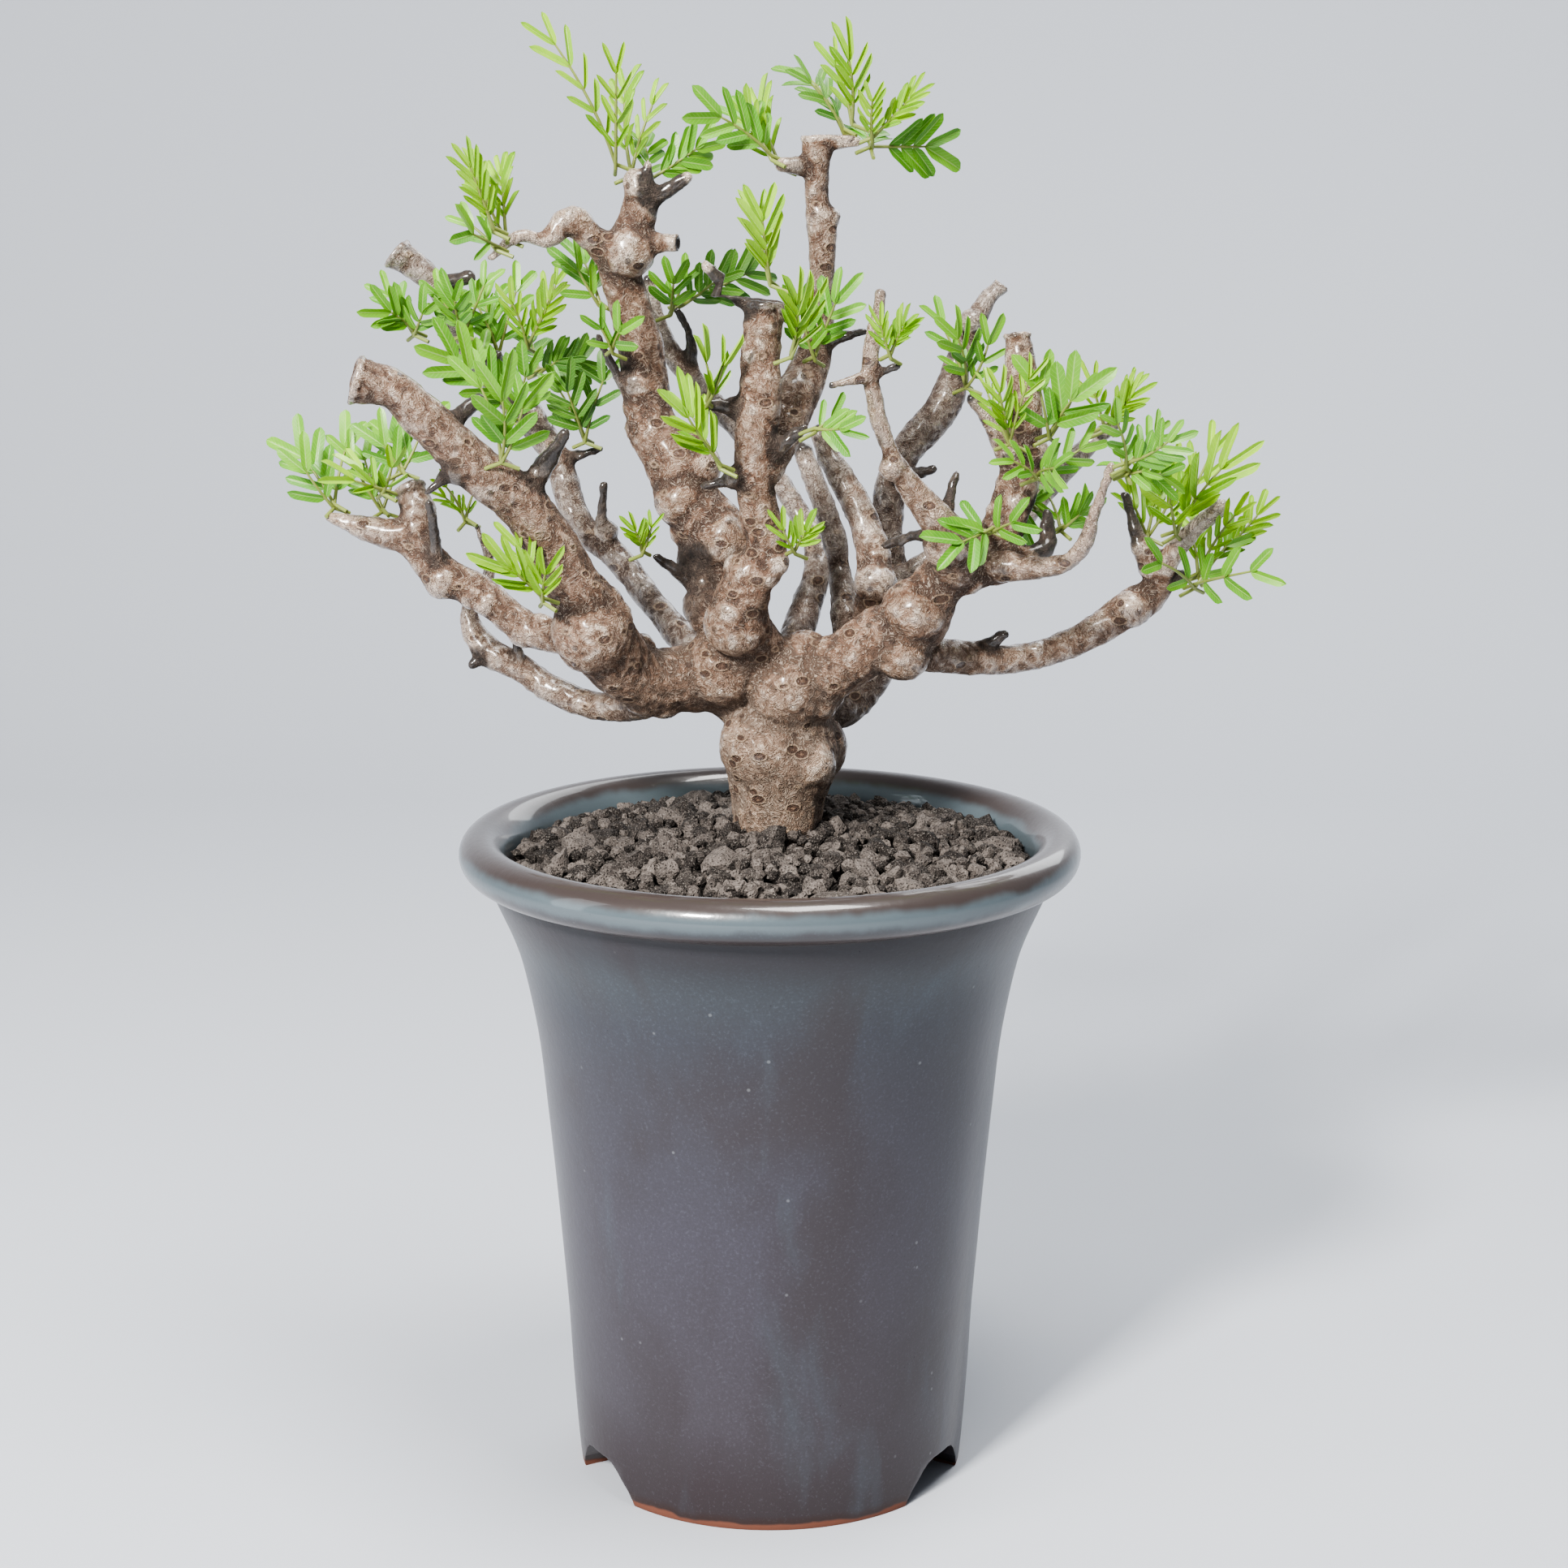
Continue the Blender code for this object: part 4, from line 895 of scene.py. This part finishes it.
# Each leafy shoot has its place, then its leaves from the top down. A leaf has a heading round the
# upright (0 is +X, 90 the back), a climb, a length, pairs of leaflets, leaflet length, roll and tone.
SHOOTS = {
    "winding_left_tip": ((-60, -9, 304), [
        (225, 65, 20, 5, 9, 20, 0), (100, 60, 19, 5, 9, -20, 0), (235, 20, 14, 2, 9, 10, 1)]),
    "winding_top": ((-32, 4, 318), [
        (205, 60, 36, 5, 10, 15, 0), (95, 65, 25, 5, 9, -25, 0), (30, 30, 20, 5, 10, 30, 1)]),
    "top_left": ((4, 0, 320), [(210, 30, 22, 4, 11, 10, 1), (115, 55, 20, 5, 10, -30, 0)]),
    "top_right": ((20, 0, 328), [
        (255, 65, 20, 4, 10, 15, 0), (135, 40, 22, 4, 9, 40, 2), (340, 45, 17, 6, 8, -15, 0),
        (25, 0, 20, 4, 12, 25, 1)]),
    "front_top": ((2, -26, 293), [(245, 75, 20, 4, 11, 20, 0)]),
    "front_middle": ((5, -25, 277), [(270, 65, 18, 4, 11, 35, 0)]),
    "front_right": ((8, -10, 275), [(310, 60, 20, 4, 10, -20, 1)]),
    "front_bud": ((7, -26, 260), [(325, 5, 12, 3, 9, 10, 1)]),
    "front_left": ((-8, -28, 252), [(225, 50, 22, 4, 12, 10, 0)]),
    "front_left_bud": ((-13, -24, 266), [(255, 60, 16, 2, 10, 40, 0)]),
    "front_foot": ((4, -22, 232), [(300, 40, 12, 4, 8, 0, 0)]),
    "winding_foot": ((-28, -10, 230), [(245, 50, 10, 4, 6, 10, 0)]),
    "winding_front": ((-38, -2, 276), [(295, 40, 12, 2, 9, 0, 1)]),
    "winding_back": ((-38, 7, 286), [(125, 50, 16, 3, 11, 20, 1)]),
    "back_tip": ((-25, 41, 284), [(30, 20, 24, 5, 11, 20, 2), (280, 55, 14, 3, 9, 0, 1)]),
    "rise_tip": ((25, -29, 277), [(305, 50, 12, 6, 7, -20, 0)]),
    "right_back_side": ((50, 43, 264), [(245, 55, 20, 4, 10, 30, 1)]),
    "pole_left": ((57, -12, 256), [(245, 60, 18, 5, 8, 20, 0)]),
    "pole_right": ((62, -9, 257), [(315, 50, 18, 3, 13, 5, 1)]),
    "pole_front": ((61, -11, 248), [(285, 10, 18, 4, 10, 20, 1)]),
    "pole_under": ((63, -4, 240), [(125, -60, 12, 3, 9, 0, 1)]),
    "pole_foot": ((66, -4, 234), [(45, 20, 12, 3, 9, 25, 1)]),
    "right_back_tip": ((78, 18, 256), [(310, 45, 16, 5, 9, -20, 0)]),
    "right_front": ((54, -22, 237), [(225, -10, 18, 3, 12, 10, 1)]),
    "right_front_end": ((77, -33, 253), [(320, 30, 17, 5, 8, 15, 1), (20, -10, 13, 3, 9, -10, 1)]),
    "right_low_back": ((91, 12, 230), [(85, 55, 18, 4, 11, 30, 0)]),
    "right_low_front": ((93, 1, 233), [(320, 50, 28, 4, 14, -10, 0)]),
    "right_low_end": ((99, 4, 222), [(25, 40, 25, 6, 9, -20, 0), (300, 15, 30, 3, 11, 10, 1)]),
    "left_low_end": ((-100, 0, 239), [(145, 45, 20, 3, 12, 0, 1)]),
    "left_low_front": ((-88, 0, 243), [(220, 20, 14, 2, 10, 30, 0)]),
    "left_low_back": ((-86, 2, 247), [(110, 45, 14, 2, 12, 0, 1)]),
    "left_low_side": ((-91, 7, 237), [(120, 50, 18, 3, 9, 10, 1)]),
    "left_high_end": ((-85, 42, 277), [(230, 30, 15, 4, 10, 10, 1)]),
    "left_high_front": ((-75, 41, 277), [(265, 50, 16, 4, 9, -20, 1)]),
    "left_high_back": ((-66, 43, 271), [(115, 60, 20, 4, 10, 10, 1)]),
    "left_high_right": ((-62, 39, 274), [(310, 50, 20, 5, 9, -15, 0)]),
    "left_high_low": ((-60, 37, 256), [(220, 40, 30, 5, 13, 10, 1)]),
    "left_high_inner": ((-61, 45, 267), [(30, 10, 16, 5, 10, 10, 2)]),
    "left_rise": ((-60, -31, 254), [(270, 65, 22, 3, 12, 20, 1)]),
    "left_back_side": ((-44, 39, 251), [(245, 55, 21, 4, 10, 0, 2)]),
    "elbow": ((-48, -31, 222), [(215, 40, 18, 4, 12, 0, 0)]),
    "left_back_low_tip": ((-72, 27, 232), [(140, 30, 11, 3, 6, 20, 0)]),
}
LEAF_STANDOFF = 4     # from the middle of the shoot to the foot of a leaf
LEAF_STEP_DOWN = 2    # each leaf of a shoot starts this much below the one before


def leaf_rows():
    """Foot and tip of every leaf, worked out from its shoot, heading, climb and length."""
    rows = []
    for (x, y, z), leaves in SHOOTS.values():
        for place, (heading, climb, length, *habit) in enumerate(leaves):
            turn, lift = math.radians(heading), math.radians(climb)
            foot = (
                x + LEAF_STANDOFF * math.cos(turn), y + LEAF_STANDOFF * math.sin(turn),
                z - LEAF_STEP_DOWN * place)
            reach = length * math.cos(lift)
            tip = (
                foot[0] + reach * math.cos(turn), foot[1] + reach * math.sin(turn),
                foot[2] + length * math.sin(lift))
            rows.append((*foot, *tip, *habit))
    return rows


# tone: opening of the leaflets, fold along the midrib, droop of the blade, width share
LEAF_HABIT = {0: (28, 46, 0.08, 0.12), 1: (40, 24, 0.14, 0.135), 2: (42, 24, 0.2, 0.13)}


def leaf_group():
    """Green blade: pale midrib, fine side veins, and a softly mottled colour."""
    group, wires, given, result = new_group("leaf_blade", ("Green", "Tip", "Under"))
    along, across = wires.reading("along"), wires.reading("across")
    tint, under = wires.reading("tint"), wires.reading("under")
    stalk = wires.reading("stalk")
    cloud = wires.grain(wires.place(), 210, 3, 0.6)
    mood = wires.sway(cloud, 0.9, tint)
    colour = wires.mix(wires.span(mood, 0.1, 0.95), given["Green"], given["Tip"])
    side = wires.maths("ABSOLUTE", across)
    sweep = wires.times(wires.maths("SUBTRACT", along, wires.times(side, 0.16)), 62.0)
    vein = wires.span(wires.maths("SINE", sweep), 0.75, 1.0)
    rib = wires.span(side, 0.13, 0.05)
    pale = wires.mix(0.5, given["Tip"], (0.5, 0.6, 0.3))
    colour = wires.mix(wires.times(vein, 0.22), colour, pale)
    colour = wires.mix(wires.times(rib, 0.6), colour, pale)
    colour = wires.mix(wires.times(under, 0.75), colour, given["Under"])
    colour = wires.mix(stalk, colour, (0.2, 0.24, 0.06))
    group.links.new(colour, result["Color"])
    group.links.new(wires.maths("MULTIPLY_ADD", vein, 0.35, rib), result["Height"])
    return group


BLADE = leaf_group()


def leaf_finish(name, green, tip, under, rough):
    material, wires, shader = new_finish(
        name, Roughness=rough, Specular_IOR_Level=0.4, Subsurface_Weight=0.12, Subsurface_Scale=0.0015)
    shader.inputs["Subsurface Radius"].default_value = (0.5, 1.0, 0.2)
    given = {"Green": (*green, 1), "Tip": (*tip, 1), "Under": (*under, 1)}
    blade = wires.add("Group", given, node_tree=BLADE)
    connect(wires, shader, Base_Color=blade.outputs["Color"],
            Normal=wires.bump(blade.outputs["Height"], 0.35, 0.00015))
    return material


def blade_half_width(t):
    """Oblong blade: quick swell from a narrow foot, nearly parallel sides, round notched end."""
    return min(1.0, (t / 0.22) ** 0.55) * min(1.0, max(0.0, (1.0 - t) / 0.16) ** 0.5)


def add_leaflet(shape, layers, place, length, width, fold, droop, tint):
    """One blade along +X of its own place, folded along its midrib and drooping towards its end."""
    columns, rows = BLADE_GRID
    made = bmesh.ops.create_grid(shape, x_segments=columns, y_segments=rows, size=0.5)["verts"]
    for vert in made:
        t = vert.co.x + 0.5
        side = vert.co.y * 2
        notch = 0.05 * (1 - abs(side)) * max(0.0, (t - 0.8) / 0.2)
        vert.co = ((t - notch) * length, side * width * max(blade_half_width(t), 0.06), 0)
        vert[layers["along"]] = t
        vert[layers["across"]] = side
        vert[layers["under"]] = 0.0
    faces = list({face for vert in made for face in vert.link_faces})
    before = set(shape.verts)
    bmesh.ops.solidify(shape, geom=faces, thickness=BLADE_THICKNESS)
    backs = [vert for vert in shape.verts if vert not in before]
    for vert in backs:
        vert[layers["under"]] = 1.0
    for vert in made + backs:
        x, y, z = vert.co
        share = x / length
        lift = abs(y) * math.sin(fold)
        pull, sag = 0.1 * droop * length * share ** 3, droop * length * share ** 2
        vert.co = place @ Vector((x - pull, y * math.cos(fold), z + lift - sag))
        vert[layers["tint"]] = tint
        vert[layers["stalk"]] = max(0.0, 0.5 - 6 * share)


def add_stalk(shape, layers, line, thick, thin):
    for number, (a, b) in enumerate(zip(line, line[1:])):
        share = number / (len(line) - 1)
        first = thick + (thin - thick) * share
        second = thick + (thin - thick) * (share + 1 / (len(line) - 1))
        turn = (b - a).to_track_quat("Z", "Y").to_matrix().to_4x4()
        place = Matrix.Translation((a + b) / 2) @ turn
        made = bmesh.ops.create_cone(
            shape, cap_ends=True, segments=7, radius1=first, radius2=second,
            depth=(b - a).length * 1.04, matrix=place)["verts"]
        for vert in made:
            vert[layers["stalk"]] = 1.0


def build_leaf(name, row, finishes, node=None):
    foot, tip = Vector(row[0:3]), Vector(row[3:6])
    pairs, leaflet, roll, tone = row[6:]
    opening, fold, droop, width = LEAF_HABIT[tone]
    dice = random.Random(LEAF_SEED + round(sum(row[:6])))
    along = (tip - foot).normalized()
    across = Vector((0, -1, 0.25)).cross(along).normalized()
    basis = Matrix((along, across, along.cross(across))).transposed()
    basis = basis @ Matrix.Rotation(math.radians(roll), 3, "X")
    shape = bmesh.new()
    layers = {key: shape.verts.layers.float.new(key) for key in ("along", "across", "under", "tint", "stalk")}
    length = (tip - foot).length
    bow = 0.07 * length * dice.uniform(0.5, 1.4)
    sway = 0.05 * length * dice.uniform(-1, 1)

    def stalk_point(share):
        arch = 4 * share * (1 - share)
        return foot + basis @ Vector((share * length, sway * arch, bow * arch))

    last = (length - 0.55 * leaflet) / length
    line = [stalk_point(last * step / STALK_STEPS) for step in range(STALK_STEPS + 1)]
    flat = Vector((along.x, along.y, 0)).normalized()
    shoot = foot - flat * LEAF_STANDOFF - Vector((0, 0, 1.5))
    add_stalk(shape, layers, [shoot, *line], *STALK_RADIUS)
    for number in range(pairs):
        share = STALK_BARE_PART + (last - STALK_BARE_PART) * number / max(pairs - 1, 1)
        end_pair = number == pairs - 1
        here = stalk_point(share)
        heading = (stalk_point(min(share + 0.05, 1.05)) - stalk_point(share - 0.05)).normalized()
        face = (basis @ Vector((0, 0, 1))).normalized()
        reach = heading.cross(face).normalized()
        for side in (1, -1):
            degrees = opening * (END_PAIR_OPENING if end_pair else 1)
            degrees += dice.uniform(-OPENING_SCATTER_DEG, OPENING_SCATTER_DEG)
            turn = math.radians(degrees)
            way = (heading * math.cos(turn) + reach * (side * math.sin(turn))
                   + face * dice.uniform(-0.14, 0.2)).normalized()
            left = face.cross(way).normalized()
            tilt_deg = dice.uniform(-TILT_SCATTER_DEG, TILT_SCATTER_DEG)
            tilt = Matrix.Rotation(math.radians(tilt_deg), 3, "X")
            turned = Matrix((way, left, way.cross(left))).transposed() @ tilt
            size = leaflet * dice.uniform(0.86, 1.06) * (1 - 0.05 * abs(number - pairs * 0.6))
            place = Matrix.Translation(here) @ turned.to_4x4()
            add_leaflet(shape, layers, place, size, size * width * dice.uniform(0.88, 1.12),
                        math.radians(fold + dice.uniform(-FOLD_SCATTER_DEG, FOLD_SCATTER_DEG)),
                        droop * dice.uniform(0.3, 1.3),
                        min(1.0, max(0.0, 0.25 + 0.5 * share + dice.uniform(-0.25, 0.25))))
    finish_piece(name, shape, finishes[tone], [node] if node else [], sharp_deg=60)


def small_leaf_rows():
    """Beside each leaf, shorter ones turned to its left and right, more of them low in the crown."""
    rows = []
    for number, row in enumerate(leaf_rows()):
        foot, tip = Vector(row[0:3]), Vector(row[3:6])
        pairs, leaflet, roll, tone = row[6:]
        crowded = foot.z < CROWDED_BELOW and abs(foot.x) > CROWDED_BEYOND
        for turn, share, lift in SMALL_LEAF_TURNS[:2 if crowded else 1]:
            reach = (tip - foot) * share
            reach.rotate(Matrix.Rotation(math.radians(turn if number % 2 else -turn), 3, "Z"))
            start = foot - Vector((0, 0, 1))
            end = start + reach + Vector((0, 0, lift))
            end.x = max(-OUTERMOST, min(OUTERMOST, end.x))
            rows.append((*start, *end, max(2, pairs - 1), leaflet * SMALL_LEAFLET, roll, tone))
    return rows


def build_leaves():
    finishes = [
        leaf_finish("young_leaf", (0.15, 0.33, 0.015), (0.29, 0.5, 0.03), (0.34, 0.52, 0.1), 0.4),
        leaf_finish("full_leaf", (0.07, 0.22, 0.016), (0.16, 0.37, 0.025), (0.22, 0.4, 0.09), 0.36),
        leaf_finish("old_leaf", (0.04, 0.13, 0.016), (0.1, 0.24, 0.024), (0.16, 0.3, 0.07), 0.36),
    ]
    for number, row in enumerate(leaf_rows(), start=1):
        build_leaf("green_leaf_%02d" % number, row, finishes, "leaf_%02d" % number)
    for number, row in enumerate(small_leaf_rows(), start=1):
        build_leaf("small_leaf_%02d" % number, row, finishes)


build_leaves()

# ---- Studio ---------------------------------------------------------------------------------
# A pale sweep of paper that is floor and backdrop in one, four soft lights and the camera.
FLOOR_COLOUR = (0.5, 0.52, 0.56)
FLOOR_NEAR, FLOOR_FAR, BACKDROP_PLACE, BACKDROP_TOP = -2.2, 0.75, 1.2, 2.4
BEND_RADIUS = 0.45
BEND_STEPS = 10
SWEEP_WIDTH = 5
SKY_COLOUR = (0.86, 0.91, 1.0)
SKY_STRENGTH = 0.26
CAMERA_PLACE = (0.0034, -0.73, 0.332)
CAMERA_TILT_DEG = 77.6
CAMERA_LENS = 71.2
# name, place, aim, width, height, power, colour
SOFT_LIGHTS = [
    ("key_left", (-0.55, -1.05, 0.95), (0, 0, 0.22), 0.22, 0.22, 44, (1.0, 0.98, 0.95)),
    ("edge_left", (-1.1, -0.3, 0.5), (0, 0, 0.16), 0.3, 1.0, 3, (0.86, 0.94, 1.0)),
    ("back_fill", (0.5, 1.0, 0.9), (0, 0, 0.2), 0.8, 0.8, 7, (0.95, 0.98, 1.0)),
    ("top_soft", (0.2, -0.25, 1.4), (0, 0, 0.24), 0.5, 0.5, 18, (1.0, 0.99, 0.97)),
]


def build_studio():
    shape = bmesh.new()
    line = [(FLOOR_NEAR, 0.0)]
    for step in range(BEND_STEPS + 1):
        turn = math.radians(90 / BEND_STEPS * step)
        line.append((FLOOR_FAR + BEND_RADIUS * math.sin(turn), BEND_RADIUS - BEND_RADIUS * math.cos(turn)))
    line.append((BACKDROP_PLACE, BACKDROP_TOP))
    points = [shape.verts.new((-SWEEP_WIDTH / 2, y, z)) for y, z in line]
    edges = [shape.edges.new(pair) for pair in zip(points, points[1:])]
    grown = bmesh.ops.extrude_edge_only(shape, edges=edges)
    moved = [part for part in grown["geom"] if isinstance(part, bmesh.types.BMVert)]
    bmesh.ops.translate(shape, verts=moved, vec=(SWEEP_WIDTH, 0, 0))
    mesh = to_mesh("paper_sweep", shape)
    mesh.shade_smooth()
    material, _, shader = new_finish("paper", Roughness=0.9)
    shader.inputs["Base Color"].default_value = (*FLOOR_COLOUR, 1)
    mesh.materials.append(material)
    sweep = put_in_scene("paper_sweep", mesh)

    for name, place, aim, width, height, power, colour in SOFT_LIGHTS:
        light = bpy.data.lights.new(name, "AREA")
        light.shape = "RECTANGLE"
        light.size = width
        light.size_y = height
        light.energy = power
        light.color = colour
        lamp = put_in_scene(name, light)
        lamp.location = place
        lamp.rotation_euler = (Vector(aim) - Vector(place)).to_track_quat("-Z", "Y").to_euler()

    world = bpy.data.worlds.new("soft_daylight")
    world.use_nodes = True
    sky = world.node_tree.nodes["Background"].inputs
    sky["Color"].default_value = (*SKY_COLOUR, 1)
    sky["Strength"].default_value = SKY_STRENGTH
    bpy.context.scene.world = world
    bpy.context.scene.view_settings.look = "AgX - Medium High Contrast"

    camera = put_in_scene("camera", bpy.data.cameras.new("camera"))
    camera.data.lens = CAMERA_LENS
    camera.location = CAMERA_PLACE
    camera.rotation_euler = (math.radians(CAMERA_TILT_DEG), 0, 0)
    bpy.context.scene.camera = camera


build_studio()
